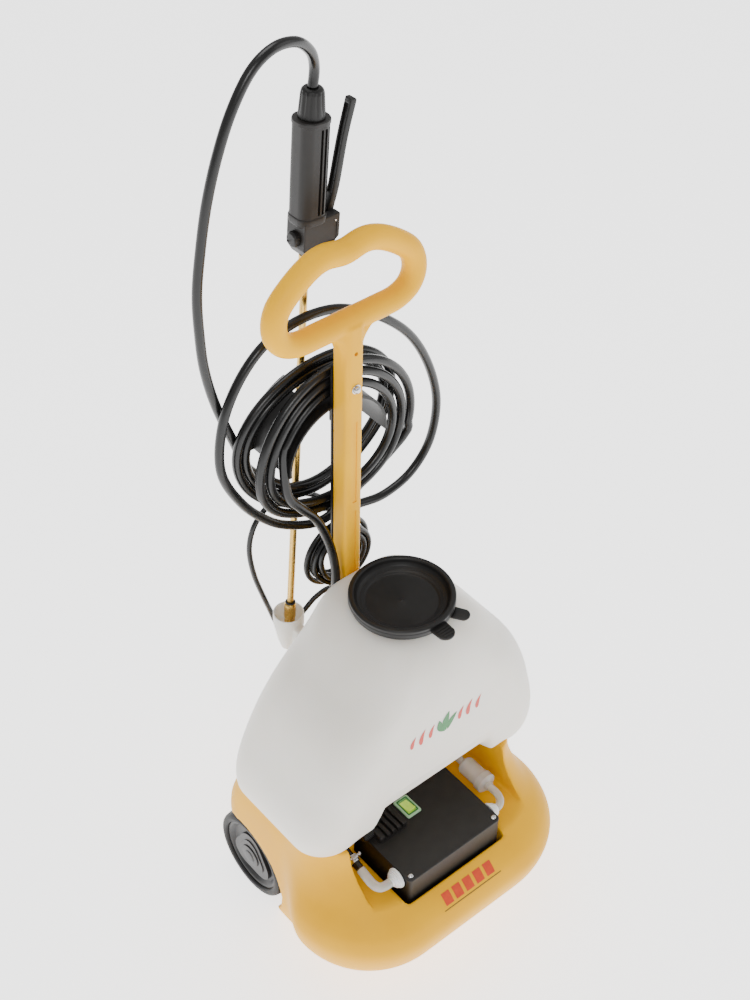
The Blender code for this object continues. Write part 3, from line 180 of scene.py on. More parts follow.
RED_INK = surface("red_ink", (0.55, 0.020, 0.008), (0.64, 0.032, 0.012), 0.45, 120, 900, 0.05)
ORANGE_INK = surface("orange_ink", (0.62, 0.040, 0.004), (0.72, 0.060, 0.006), 0.45, 120, 900, 0.05)
GREEN_INK = surface("green_ink", (0.012, 0.15, 0.03), (0.022, 0.22, 0.05), 0.45, 120, 900, 0.05)
GREY_INK = surface("grey_ink", (0.10, 0.055, 0.010), (0.14, 0.080, 0.014), 0.45, 120, 900, 0.05)


# ---- helpers ----
def turned_at(place=(0, 0, 0), turn=(0, 0, 0)):
    """A place and a turn as one matrix."""
    return Matrix.Translation(place) @ Euler(turn).to_matrix().to_4x4()


def new_object(name, data, matrix=None):
    o = bpy.data.objects.new(name, data)
    bpy.context.scene.collection.objects.link(o)
    o.matrix_world = SHIFT @ (matrix or Matrix.Identity(4))
    return o


def mesh_object(name, bm, matrix=None, angle=35):
    bmesh.ops.recalc_face_normals(bm, faces=bm.faces)
    m = bpy.data.meshes.new(name)
    bm.to_mesh(m)
    bm.free()
    m.shade_smooth()
    m.set_sharp_from_angle(angle=math.radians(angle))
    return new_object(name, m, matrix)


def bake(o, *spent, angle=35):
    """Applies an object's modifiers and removes the helpers that they used."""
    bpy.context.view_layer.update()
    made = bpy.data.meshes.new_from_object(o.evaluated_get(bpy.context.evaluated_depsgraph_get()))
    o.modifiers.clear()
    o.data = made
    made.materials.clear()
    made.shade_smooth()
    made.set_sharp_from_angle(angle=math.radians(angle))
    for s in spent:
        bpy.data.objects.remove(s, do_unlink=True)
    return o


def combine(o, operation, *others, angle=35):
    """Booleans done at once."""
    for other in others:
        step = o.modifiers.new("step", "BOOLEAN")
        step.operation = operation
        step.object = other
        step.solver = "EXACT"
    return bake(o, *others, angle=angle)


def cut(o, *others):
    return combine(o, "DIFFERENCE", *others)


def soften(o, voxel, rounds, angle=180):
    """Melts the pieces of a body together and rounds its corners."""
    melt = o.modifiers.new("melt", "REMESH")
    melt.mode = "VOXEL"
    melt.voxel_size = voxel
    ease = o.modifiers.new("ease", "SMOOTH")
    ease.factor = 0.5
    ease.iterations = rounds
    return bake(o, angle=angle)


def bevel(o, width, segments=3, angle=30):
    edge = o.modifiers.new("edge", "BEVEL")
    edge.width = width
    edge.segments = segments
    edge.limit_method = "ANGLE"
    edge.angle_limit = math.radians(angle)
    even = o.modifiers.new("even", "WEIGHTED_NORMAL")
    even.keep_sharp = True
    return o


def piece(o, material, body="cart", nodes=()):
    """Gives a finished object its material and its place on a body."""
    o.data.materials.clear()
    o.data.materials.append(material)
    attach(o, body)
    if nodes:
        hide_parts(*nodes)
    return o


def merge(name, *objects):
    """One mesh out of several objects, in the first one's place."""
    bm = bmesh.new()
    back = SHIFT.inverted()
    for o in objects:
        bpy.context.view_layer.update()
        part = o.evaluated_get(bpy.context.evaluated_depsgraph_get()).to_mesh()
        part.transform(back @ o.matrix_world)
        bm.from_mesh(part)
        o.evaluated_get(bpy.context.evaluated_depsgraph_get()).to_mesh_clear()
    for o in objects:
        bpy.data.objects.remove(o, do_unlink=True)
    m = bpy.data.meshes.new(name)
    bm.to_mesh(m)
    bm.free()
    m.shade_smooth()
    m.set_sharp_from_angle(angle=math.radians(35))
    return new_object(name, m)


def block(name, low, high, matrix=None):
    low, high = Vector(low), Vector(high)
    bm = bmesh.new()
    corners = [
        bm.verts.new((x, y, z)) for z in (low.z, high.z) for y in (low.y, high.y) for x in (low.x, high.x)
    ]
    for ring in ((0, 1, 3, 2), (4, 5, 7, 6), (0, 1, 5, 4), (2, 3, 7, 6), (0, 2, 6, 4), (1, 3, 7, 5)):
        bm.faces.new([corners[i] for i in ring])
    return mesh_object(name, bm, matrix)


def rounded_profile(profile, radius, ring):
    """A profile with its corners turned into short curves."""
    n = len(profile)
    pts = [Vector(p) for p in profile]
    out = []
    for i, p in enumerate(pts):
        if not ring and i in (0, n - 1):
            out.append(p)
            continue
        a, b = pts[i - 1] - p, pts[(i + 1) % n] - p
        reach = min(radius, a.length * 0.45, b.length * 0.45)
        if a.length < 1e-7 or b.length < 1e-7 or a.angle(-b) < math.radians(12):
            out.append(p)
            continue
        start, end = p + a.normalized() * reach, p + b.normalized() * reach
        out += [start.lerp(p, t).lerp(p.lerp(end, t), t) for t in (0.0, 0.3, 0.7, 1.0)]
    return out


def lathe(name, profile, matrix=None, steps=72, ring=False, radius=0.0005, wave=None, angle=35):
    """A turned body about its own Z. wave(angle, r, z) may change the radius for flutes and knurls."""
    bm = bmesh.new()
    loops = []
    for r, z in rounded_profile(profile, radius, ring):
        if r < 1e-6:
            loops.append([bm.verts.new((0.0, 0.0, z))])
            continue
        loop = []
        for i in range(steps):
            a = 2 * math.pi * i / steps
            q = wave(a, r, z) if wave else r
            loop.append(bm.verts.new((q * math.cos(a), q * math.sin(a), z)))
        loops.append(loop)
    pairs = list(zip(loops, loops[1:])) + ([(loops[-1], loops[0])] if ring else [])
    for one, two in pairs:
        if len(one) == 1 and len(two) == 1:
            continue
        for i in range(steps):
            j = (i + 1) % steps
            if len(one) == 1:
                bm.faces.new((one[0], two[i], two[j]))
            elif len(two) == 1:
                bm.faces.new((one[i], one[j], two[0]))
            else:
                bm.faces.new((one[i], one[j], two[j], two[i]))
    return mesh_object(name, bm, matrix, angle)


def loft(name, rings, matrix=None, angle=35):
    bm = bmesh.new()
    loops = [[bm.verts.new(p) for p in ring] for ring in rings]
    count = len(loops[0])
    for below, above in zip(loops, loops[1:]):
        for i in range(count):
            j = (i + 1) % count
            bm.faces.new((below[i], below[j], above[j], above[i]))
    bm.faces.new(loops[0])
    bm.faces.new(loops[-1])
    return mesh_object(name, bm, matrix, angle)


def prism(name, outline, thick, matrix=None):
    """A closed outline, extruded both ways along its own Z."""
    return loft(name, [[(x, y, z) for x, y in outline] for z in (-thick / 2, thick / 2)], matrix)


def arc(cx, cy, r, start, end, count):
    angles = [math.radians(start + (end - start) * i / (count - 1)) for i in range(count)]
    return [(cx + r * math.cos(a), cy + r * math.sin(a)) for a in angles]


def mirrored(half):
    """A closed outline from its right half, which starts and ends on the middle line."""
    return half + [(-x, y) for x, y in reversed(half[1:-1])]


def catmull(points, spacing=0.005, closed=False):
    """A smooth line through points."""
    pts = [Vector(p) for p in points]
    n = len(pts)
    out = []
    for i in range(n if closed else n - 1):
        if closed:
            a, b, c, d = (pts[(i + k) % n] for k in (-1, 0, 1, 2))
        else:
            a, b = pts[max(i - 1, 0)], pts[i]
            c, d = pts[i + 1], pts[min(i + 2, n - 1)]
        steps = max(1, round((c - b).length / spacing))
        for k in range(steps):
            t = k / steps
            out.append(
                0.5 * (2 * b + (c - a) * t + (2 * a - 5 * b + 4 * c - d) * t**2
                       + (3 * b - a - 3 * c + d) * t**3)
            )
    return out if closed else out + [pts[-1]]


def finer(levels, steps):
    """Rows of numbers with smooth rows between them."""
    rows = []
    last = len(levels) - 1
    for i in range(last):
        a, b = levels[max(i - 1, 0)], levels[i]
        c, d = levels[i + 1], levels[min(i + 2, last)]
        for k in range(steps):
            t = k / steps
            rows.append(tuple(
                0.5 * (2 * q + (r - p) * t + (2 * p - 5 * q + 4 * r - s) * t**2
                       + (3 * q - p - 3 * r + s) * t**3)
                for p, q, r, s in zip(a, b, c, d)
            ))
    return rows + [levels[-1]]


def tube(name, points, radius, closed=False, sides=6):
    """A round tube along points, as a curve."""
    c = bpy.data.curves.new(name, "CURVE")
    c.dimensions = "3D"
    c.bevel_depth = radius
    c.bevel_resolution = sides
    c.use_fill_caps = not closed
    s = c.splines.new("POLY")
    s.points.add(len(points) - 1)
    for p, co in zip(s.points, points):
        p.co = (*co, 1.0)
    s.use_cyclic_u = closed
    s.use_smooth = True
    return new_object(name, c)


def rod(name, r, low, high, matrix=None, steps=48):
    """A plain round body along its own Z, for cutting."""
    return lathe(name, [(0, high), (r, high), (r, low), (0, low)], matrix, steps, radius=0.0)


# ---- spray hose ----
HOSE_DROP = [
    tuple(LANCE_HEAD), (0.0205, 0.1825, 1.3350), (0.0080, 0.1740, 1.3620), (-0.0200, 0.1640, 1.3860),
    (-0.0560, 0.1580, 1.3920), (-0.0890, 0.1560, 1.3755), (-0.1175, 0.1555, 1.3365),
    (-0.1395, 0.1555, 1.2880),
    (-0.1565, 0.1555, 1.2355), (-0.1685, 0.1555, 1.1800), (-0.1775, 0.1555, 1.1200),
    (-0.1775, 0.1560, 1.0600),
    (-0.1715, 0.1590, 1.0030), (-0.1560, 0.1625, 0.9380), (-0.1310, 0.1635, 0.8640),
    (-0.1090, 0.1630, 0.8060),
]
HOSE_LOOP = [
    (-0.0060, 0.155, 0.6860), (0.0180, 0.1555, 0.6705), (0.0480, 0.1550, 0.6540),
    (0.0780, 0.1520, 0.6465), (0.1160, 0.148, 0.6445), (0.1630, 0.147, 0.6600), (0.1980, 0.147, 0.7020),
    (0.2080, 0.147, 0.7685), (0.1910, 0.147, 0.8395), (0.1560, 0.147, 0.9075), (0.1100, 0.148, 0.9580),
    (0.0560, 0.149, 0.9970), (0.0110, 0.150, 1.0160), (-0.0400, 0.150, 1.0200), (-0.0920, 0.149, 1.0060),
    (-0.1340, 0.148, 0.9660), (-0.1600, 0.147, 0.9100), (-0.1640, 0.147, 0.8400), (-0.1340, 0.147, 0.7700),
    (-0.0920, 0.147, 0.7150), (-0.0540, 0.146, 0.6850), (-0.0120, 0.143, 0.6680), (0.0220, 0.1415, 0.6730),
    (0.0460, 0.1415, 0.6870),
]
HOSE_FEED = [
    (-0.0700, 0.1060, 0.7560), (-0.0460, 0.1010, 0.7230),
    (-0.0300, 0.0950, 0.6760), (-0.0248, 0.0885, 0.6340), (-0.0245, 0.0865, 0.6000),
    (-0.0245, 0.0885, 0.5300),
    (-0.0245, 0.0930, 0.4500), (-0.0245, 0.0965, 0.3700), (-0.0252, 0.0975, 0.3350),
    (-0.0280, 0.0975, 0.3030),
    (-0.0350, 0.0960, 0.2770), (-0.0500, 0.0890, 0.2570), (-0.0740, 0.0770, 0.2500),
    (-0.1000, 0.0560, 0.2470),
    (-0.1200, 0.0260, 0.2465), (-0.1300, -0.0050, 0.2460), (-0.1340, -0.0360, 0.2440),
    (-0.1350, -0.0640, 0.2422),
    tuple(CLAMP_AT), tuple(CLAMP_AT - 0.0140 * HOSE_OUT),
]
LANE = 0.0137                # spacing of the turns in one layer
FRONT_Y, REAR_Y = 0.1240, 0.1500


def turn_point(degrees, lane, y, lean):
    """A point on one turn of the hank. lean shifts and stretches a whole layer."""
    a = math.radians(degrees)
    half_x = 0.0935 + LANE * lane
    half_z = 0.0800 + LANE * 0.985 * lane
    x = half_x * math.cos(a) + lean * (0.004 - 0.006 * math.sin(2 * a))
    z = 0.8265 + 0.0010 * lane + half_z * math.sin(a) - lean * 0.004 * (1 - math.sin(a))
    return (x, y + 0.0015 * math.sin(3 * a + 2 * lean), z)


def layer(start, end, lane_start, lane_end, y, lean, step=12):
    count = round(abs(end - start) / step)
    return [
        turn_point(start + (end - start) * i / count, lane_start + (lane_end - lane_start) * i / count, y,
                   lean)
        for i in range(count + 1)
    ]


hose_route = list(reversed(HOSE_FEED))
hose_route += [(-0.0855, 0.1125, 0.7840)]
hose_route += layer(165, -30 - 720, 0.0, 3.0, FRONT_Y, 1.0)
hose_route += list(reversed(HOSE_LOOP))
hose_route += layer(-122, -127 - 720, 3.0, 1.0, REAR_Y, -1.0)
hose_route += list(reversed(HOSE_DROP))
hose_line = catmull(hose_route, 0.006)
hose = tube("spray_hose", hose_line, HOSE_R)
piece(hose, HOSE_BLACK, nodes=(
    "spray_hose_feed", "spray_hose_hank", "spray_hose_loop", "spray_hose_drop",
))

# ---- supply lead ----
COIL = Vector((0.016, 0.1265, 0.603))
COIL_LANES = (0.0375, 0.0460, 0.0545)
COIL_LAYERS = (0.1348, 0.1265, 0.1182)
COIL_SLOTS = ((0, 0), (0, 1), (0, 2), (1, 2), (1, 1), (1, 0), (2, 0))
COIL_START, COIL_SWEEP, COIL_STAY, COIL_MOVE = -12.0, 2196.0, 300.0, 60.0
COIL_STEP = 12.0
LEAD_ROUTE = [
    (GLAND_X, BOX_Y1 - 0.0086, GLAND_Z), (GLAND_X, BOX_Y1 + 0.020, GLAND_Z), (0.0300, 0.020, 0.2040),
    (0.0300, 0.060, 0.2040), (0.0292, 0.086, 0.2110), (0.0280, 0.1035, 0.2310), (0.0272, 0.1105, 0.2620),
    (0.0275, 0.1120, 0.3000), (0.0310, 0.1155, 0.3450), (0.0400, 0.1260, 0.3950), (0.0520, 0.1450, 0.4370),
    (0.0560, 0.1680, 0.4620), (0.0450, 0.1840, 0.4690), (0.0220, 0.1900, 0.4600), (0.0010, 0.1905, 0.4460),
    (-0.0160, 0.1900, 0.4350), (-0.0330, 0.1875, 0.4300), (-0.0480, 0.1855, 0.4400),
    (-0.0590, 0.1850, 0.4650),
    (-0.0690, 0.1845, 0.4970), (-0.0800, 0.1820, 0.5300), (-0.0970, 0.1800, 0.5890),
    (-0.1040, 0.1790, 0.6420),
    (-0.0970, 0.1780, 0.6790), (-0.0790, 0.1775, 0.7020), (-0.0550, 0.1770, 0.7110),
    (-0.0300, 0.1770, 0.7080),
    (-0.0070, 0.1760, 0.6960), (0.0160, 0.1750, 0.6780), (0.0340, 0.1740, 0.6540), (0.0440, 0.1700, 0.6340),
    (0.0510, 0.1580, 0.6140),
]
PLUG_AT = Vector((0.0400, 0.1545, 0.5280 - 2 * GAP))
TAIL = [(0.0435, 0.1430, 0.5500), (0.0412, 0.1505, 0.5405), (0.0400, 0.1540, 0.5345), tuple(PLUG_AT)]


def coil_point(travel):
    """A point of the coil after so many degrees. The turns change places one after the other."""
    k = max(0, min(len(COIL_SLOTS) - 2, round((travel - COIL_STAY) / COIL_STAY)))
    t = (travel - COIL_STAY * (k + 1)) / COIL_MOVE + 0.5
    t = max(0.0, min(1.0, t))
    t = t * t * (3 - 2 * t)
    (lane_a, layer_a), (lane_b, layer_b) = COIL_SLOTS[k], COIL_SLOTS[k + 1]
    r = COIL_LANES[lane_a] * (1 - t) + COIL_LANES[lane_b] * t
    y = COIL_LAYERS[layer_a] * (1 - t) + COIL_LAYERS[layer_b] * t
    enter = max(0.0, 1 - travel / 70.0)
    leave = max(0.0, 1 - (COIL_SWEEP - travel) / 60.0)
    a = math.radians(COIL_START - travel)
    return (COIL.x + r * math.cos(a), y + 0.0125 * enter**2 + 0.0040 * leave**2, COIL.z + r * math.sin(a))


lead_route = LEAD_ROUTE + [coil_point(COIL_STEP * i) for i in range(int(COIL_SWEEP / COIL_STEP) + 1)] + TAIL
lead_line = catmull(lead_route, 0.004)
lead = tube("supply_lead_visual", lead_line, LEAD_R, sides=5)
piece(lead, HOSE_BLACK, nodes=("supply_lead", "supply_lead_coil", "supply_lead_tail"))


def squircle(half_x, half_y, corner, z, count=9):
    right = arc(half_x - corner, -(half_y - corner), corner, -90, 0, count)
    right += arc(half_x - corner, half_y - corner, corner, 0, 90, count)
    return [(x, y, z) for x, y in right + [(-x, y) for x, y in reversed(right)]]


PLUG_LEVELS = (
    (0.0046, 0.0044, 0.0), (0.0060, 0.0055, -0.0012), (0.0068, 0.0058, -0.0060), (0.0085, 0.0062, -0.0120),
    (0.0140, 0.0066, -0.0160), (0.0172, 0.0068, -0.0205), (0.0175, 0.0068, -0.0220), (0.0175, 0.0068, -0.0350),
    (0.0165, 0.0060, -0.0360),
)
plug_rings = [squircle(half_x, half_y, 0.004, z) for half_x, half_y, z in PLUG_LEVELS]
plug_body = loft("supply_plug_visual", plug_rings, turned_at(PLUG_AT))
piece(bevel(plug_body, 0.0006, 2), BLACK, nodes=("supply_plug",))
for side in (-1, 1):
    pin = lathe(
        f"plug_pin_{side + 1}", [(0, -0.0535), (0.0014, -0.0533), (0.0020, -0.0525), (0.0020, -0.0345),
                                 (0, -0.0345)],
        turned_at(PLUG_AT + Vector((side * 0.0095, 0, 0))), 24,
    )
    piece(pin, STEEL)

# ---- base ----
# height, half width at the front, front y, corner radius, half width at the back, back y
BASE_LEVELS = (
    (0.012, 0.180, -0.156, 0.100, 0.182, 0.128),
    (0.050, 0.200, -0.182, 0.115, 0.190, 0.146),
    (0.095, 0.223, -0.209, 0.130, 0.192, 0.160),
    (0.136, 0.232, -0.220, 0.138, 0.192, 0.166),
    (0.160, 0.228, -0.212, 0.134, 0.192, 0.166),
    (0.178, 0.218, -0.196, 0.124, 0.192, 0.165),
    (0.197, 0.206, -0.170, 0.110, 0.192, 0.162),
    (0.220, 0.198, -0.140, 0.090, 0.192, 0.154),
    (0.247, 0.195, -0.117, 0.078, 0.191, 0.142),
    (SEAT_Z, 0.195, -0.106, 0.070, 0.190, 0.132),
)
FLARE_END_Y = 0.012


def base_ring(level, inset=0.0, z_to=None):
    z, half, front, corner, half_back, back = level
    half, half_back, corner = half - inset, half_back - inset, corner - inset
    front, back = front + inset, back - inset
    right = [(0.0, front)] + arc(half - corner, front + corner, corner, -90, 0, 17)
    start = front + corner
    for k in range(1, 9):
        t = k / 8
        ease = t * t * (3 - 2 * t)
        right.append((half + (half_back - half) * ease, start + (FLARE_END_Y - start) * t))
    right += arc(half_back - 0.045, back - 0.045, 0.045, 0, 90, 9) + [(0.0, back)]
    return [(x, y, z if z_to is None else z_to) for x, y in mirrored(right)]


def bay_cutters(tag, grow):
    """What the base leaves free: the bay with its step, the two slots behind it, the well and the arches."""
    cutters = [
        block(f"bay_{tag}", (-BAY_HALF - grow, -0.42, DECK_Z - grow),
              (BAY_HALF + grow, STEP_Y + grow, 0.36)),
        block(f"bay_back_{tag}", (BOX_X0 - 0.010 - grow, -0.10, DECK_Z - grow),
              (BAY_HALF + grow, BAY_BACK_Y + grow, 0.36)),
        block(f"trough_{tag}", (-BAY_HALF - grow, STEP_Y - 0.01, STEP_Z - grow),
              (0.0, BAY_BACK_Y + grow, 0.36)),
        block(f"hose_slot_{tag}", (-0.105 - grow, 0.02, DECK_Z - grow),
              (-0.0175 + grow, 0.116 + grow, 0.36)),
        block(f"lead_slot_{tag}", (0.0175 - grow, 0.02, DECK_Z - grow), (0.045 + grow, 0.118 + grow, 0.36)),
        block(f"well_{tag}", (BOX_X0 - 0.007 - grow, BOX_Y0 - 0.003 - grow, WELL_FLOOR_Z - grow),
              (BOX_X1 + 0.007 + grow, BOX_Y1 + 0.008 + grow, 0.30)),
    ]
    for side in (-1, 1):
        inner = side * (ARCH_IN_X - grow)
        reach = sorted((inner, side * 0.30))
        cutters.append(rod(f"arch_{tag}_{side + 1}", ARCH_R + grow, *reach,
                           turned_at((0, WHEEL_Y, WHEEL_R), RIGHTWARD)))
    return cutters


def make_base():
    levels = finer(BASE_LEVELS, 5)
    base = loft("base", [base_ring(row) for row in levels])
    cut(base, *bay_cutters("out", 0.0))
    wall = BASE_WALL
    rings = [base_ring(levels[0], wall, -0.010)] + [base_ring(row, wall) for row in levels[:-1]]
    rings += [base_ring(levels[-1], wall, SEAT_Z - wall)]
    hollow = loft("base_hollow", rings)
    keep = [block("socket_keep", (-0.024, BAY_BACK_Y + 0.001, 0.135), (0.024, 0.30, 0.40))]
    keep += [rod(f"boss_keep_{side + 1}", 0.016, 0.0, 0.25, turned_at((side * 0.13, -0.105, 0.0)))
             for side in (-1, 1)]
    cut(hollow, *bay_cutters("in", wall), *keep)
    cut(base, hollow)
    soften(base, 0.0030, 7)
    socket = (POST_W / 2 + 0.0006, POST_D / 2 + 0.0006)
    cut(
        base,
        block("socket_hole", (-socket[0], POST_Y - socket[1], POST_FOOT_Z - 0.002),
              (socket[0], POST_Y + socket[1], 0.40)),
        rod("axle_hole", AXLE_R + GAP, -0.30, 0.30, turned_at((0, WHEEL_Y, WHEEL_R), RIGHTWARD)),
        rod("screw_hole", 0.0033, -0.05, 0.05, turned_at((0, 0.150, 0.215), FORWARD), 24),
        *[rod(f"foot_seat_{side + 1}", 0.0146, -0.02, 0.0165, turned_at((side * 0.13, -0.105, 0.0)))
          for side in (-1, 1)],
    )
    return base


base = piece(make_base(), YELLOW, nodes=("base_shell",))

# ---- tank ----
# height, half width, front y, back y, corner radius
TANK_LEVELS = (
    (SEAT_Z + GAP, 0.2020, -0.082, 0.118, 0.040),
    (0.292, 0.2100, -0.099, 0.118, 0.048),
    (0.312, 0.2155, -0.110, 0.117, 0.054),
    (0.340, 0.2175, -0.117, 0.115, 0.058),
    (0.375, 0.2140, -0.121, 0.111, 0.062),
    (0.415, 0.2030, -0.124, 0.107, 0.064),
    (0.455, 0.1910, -0.126, 0.101, 0.066),
    (0.495, 0.1750, -0.126, 0.094, 0.068),
    (0.530, 0.1540, -0.126, 0.088, 0.068),
    (0.560, 0.1310, -0.123, 0.083, 0.066),
    (0.585, 0.1130, -0.117, 0.079, 0.062),
    (0.605, 0.0970, -0.108, 0.076, 0.054),
    (0.621, 0.0800, -0.096, 0.071, 0.046),
    (0.631, 0.0620, -0.082, 0.060, 0.036),
    (0.6355, 0.0400, -0.064, 0.042, 0.026),
)


def tank_ring(level):
    """One level outline of the tank."""
    z, half, front, back, corner = level
    right = [(0.0, front)] + arc(half - corner, front + corner, corner, -90, 0, 15)
    right += arc(half - corner, back - corner, corner, 0, 90, 11) + [(0.0, back)]
    return [(x, y, z) for x, y in mirrored(right)]


def lip_cutter():
    """Rounds the tank's front where it turns under into the arch, and less and less towards the lobes."""
    rings = []
    for k in range(-31, 32):
        x = 0.005 * k
        t = max(0.0, min(1.0, (0.155 - abs(x)) / 0.060))
        away = 1 - t * t * (3 - 2 * t)
        y0, z0 = LIP_Y - 0.030 * away, ARCH_TOP_Z - 0.001 - 0.110 * away
        profile = arc(y0 + LIP_R, z0 + LIP_R, LIP_R, 180, 270, 24)
        profile += [(y0 + LIP_R, 0.16), (-0.30, 0.16), (-0.30, z0 + LIP_R)]
        rings.append([(x, y, z) for y, z in profile])
    return loft("lip", rings)


def make_tank():
    tank = loft("tank_body", [tank_ring(row) for row in finer(TANK_LEVELS, 4)])
    half = [(0.0, ARCH_TOP_Z), (0.128, ARCH_TOP_Z)] + arc(0.128, ARCH_TOP_Z - 0.030, 0.030, 90, 0, 12)[1:]
    half += [(0.158, 0.20)]
    arch = prism("tank_arch", half + [(-x, z) for x, z in reversed(half[1:])], 0.28,
                 turned_at((0, -0.16, 0), FORWARD))
    groove = block("tank_groove", (-CHANNEL_HALF, CHANNEL_Y, 0.20), (CHANNEL_HALF, 0.30, 0.70))
    cut(tank, arch, lip_cutter(), groove, rod("bore", 0.0572, 0.570, 0.70, turned_at((0, FILLER_Y, 0)), 96))
    return soften(tank, 0.0030, 12)


tank = piece(make_tank(), MILKY, nodes=("tank",))
neck = lathe(
    "tank_neck",
    [(0.0568, NECK_TOP_Z), (0.0600, NECK_TOP_Z), (0.0600, 0.600), (0.0545, 0.600), (0.0545, 0.6315),
     (0.0568, 0.6320)],
    turned_at((0, FILLER_Y, 0)), 96, ring=True,
)
piece(neck, MILKY)

strainer = lathe(
    "strainer",
    [(0, 0.577), (0.0502, 0.577), (0.0518, 0.6344), (0.0562, 0.6344), (0.0562, 0.6326), (0.0536, 0.6326),
     (0.0520, 0.575), (0, 0.575)],
    turned_at((0, FILLER_Y, 0)),
)
piece(strainer, WHITE, nodes=("filler_strainer",))


def tab_outline(reach, half, root_r):
    tip = arc(reach - half, 0.0, half, -70, 70, 21)
    return [(root_r - 0.004, -half), *tip, (root_r - 0.004, half)]


def tab_ridges(name, reach, half, top, turn):
    """Grip ridges across a tab."""
    ridges = []
    for k in range(4):
        r = reach - 0.0055 - 0.0046 * k
        wide = 0.62 * half if k == 0 else 0.80 * half
        ridges.append(block(
            f"{name}_{k}", (r - 0.0010, -wide, top - 0.0008), (r + 0.0010, wide, top + 0.0009),
            turned_at((0, FILLER_Y, 0), (0, 0, turn)),
        ))
    return ridges


ring = lathe(
    "ring",
    [(0.0603, 0.6418), (0.0700, 0.6418), (0.0712, 0.6405), (0.0712, 0.6370), (0.0603, 0.6370)],
    turned_at((0, FILLER_Y, 0)), 96, ring=True,
)
ring_tab = bevel(prism("ring_tab", tab_outline(0.0955, 0.0105, 0.067), 0.0032,
                       turned_at((0, FILLER_Y, 0.6394), (0, 0, RING_TAB_TURN))), 0.0008)
ring = merge("filler_ring_visual", ring, ring_tab)
piece(ring, BLACK, nodes=("filler_ring",))

lid = lathe(
    "lid",
    [(0, 0.6398), (0.0016, 0.6398), (0.0024, 0.6388), (0.0200, 0.6386), (0.0480, 0.6388), (0.0505, 0.6392),
     (0.0520, 0.6404), (0.0560, 0.6416), (0.0612, 0.6446), (0.0638, 0.6486), (0.0652, 0.6526),
     (0.0668, 0.6540),
     (0.0715, 0.6540), (LID_R, 0.6524), (LID_R - 0.0006, 0.6478), (LID_R, 0.6470), (LID_R, 0.6424),
     (0.0560, 0.6424), (0.0555, 0.6352), (0, 0.6352)],
    turned_at((0, FILLER_Y, 0)), 120, radius=0.0009,
)
lid_tab = bevel(prism("lid_tab", tab_outline(0.0985, 0.0135, 0.0745), 0.0040,
                      turned_at((0, FILLER_Y, 0.6452), (0, 0, LID_TAB_TURN))), 0.0010)
lid = merge(
    "filler_lid_visual", lid, lid_tab, *tab_ridges("lid_ridge", 0.0985, 0.0135, 0.6472, LID_TAB_TURN),
)
piece(lid, BLACK, "tank_lid", ("filler_lid",))

# ---- handle ----
LOOP_HALF = (
    (0.0, 0.0), (0.045, 0.0), (0.078, 0.001), (0.101, 0.012), (0.1106, 0.034), (0.1040, 0.060),
    (0.0816, 0.081), (0.0540, 0.0975), (0.0300, 0.1030), (0.0, 0.0985),
)
FLARE = ((0.930, 0.0140, 0.0160), (0.972, 0.0145, 0.0158), (0.995, 0.0170, 0.0150), (1.012, 0.0230, 0.0142),
         (1.024, 0.0340, 0.0130), (1.032, 0.0480, 0.0110))


def make_handle():
    loop = [(x, 0.0, z) for x, z in LOOP_HALF] + [(-x, 0.0, z) for x, z in reversed(LOOP_HALF[1:-1])]
    grip = tube("grip", catmull(loop, 0.005, closed=True), LOOP_R + 0.0003, closed=True, sides=10)
    grip.matrix_world = SHIFT @ turned_at((0, 0.096, LOOP_Z), (-LOOP_TILT, 0, 0))
    post = loft("post", [
        [(x, y + POST_Y, z) for x, y, z in squircle(POST_W / 2, POST_D / 2, 0.006, z)]
        for z in (POST_FOOT_Z, 0.40, 0.70, LOOP_Z)
    ])
    flare = loft("flare", [
        [(x, y + POST_Y + 0.001, z) for x, y, z in squircle(half, deep, min(half, deep) * 0.8, z)]
        for z, half, deep in finer(FLARE, 4)
    ])
    handle = soften(merge("handle_visual", grip, post, flare), 0.0022, 6)
    grooves = [block(f"post_groove_{k}", (-0.0032, 0.060, low), (0.0032, 0.0782, low + 0.140))
               for k, low in enumerate((0.590, 0.745))]
    cut(handle, *grooves,
        rod("post_bolt_hole", 0.0033, -0.04, 0.04, turned_at((0, POST_Y, BOLT_Z), FORWARD), 24),
        rod("post_screw_hole", 0.0033, -0.018, 0.018, turned_at((0, 0.112, 0.215), FORWARD), 24),
        rod("moulding_hole", 0.0030, -0.012, 0.012, turned_at((0.0, 0.078, 0.995), FORWARD), 24))
    return handle


piece(make_handle(), YELLOW, nodes=("handle",))

bolt = lathe(
    "bolt",
    [(0, 0.0052), (0.0026, 0.0050), (0.0046, 0.0036), (0.0052, 0.0016), (0.0052, 0.0003), (0.0030, 0.0003),
     (0.0030, -0.0420), (0, -0.0420)],
    turned_at((0, 0.0758, BOLT_Z), FORWARD), 48,
)
piece(bolt, STEEL, nodes=("hanger_bolt",))
washer = lathe(
    "washer", [(0.0033, 0.0010), (0.0068, 0.0010), (0.0068, 0.0), (0.0033, 0.0)],
    turned_at((0, 0.0767, BOLT_Z), FORWARD), 48, ring=True, radius=0.0002,
)
piece(washer, STEEL, nodes=("bolt_washer",))


# ---- hose hanger ----
def half_ring(outer, inner, legs, count=49):
    up = arc(0.0, 0.0, outer, 0, 180, count)
    down = arc(0.0, 0.0, inner, 180, 0, count)
    return [(outer, -legs), *up, (-outer, -legs), (-inner, -legs), *down, (inner, -legs)]


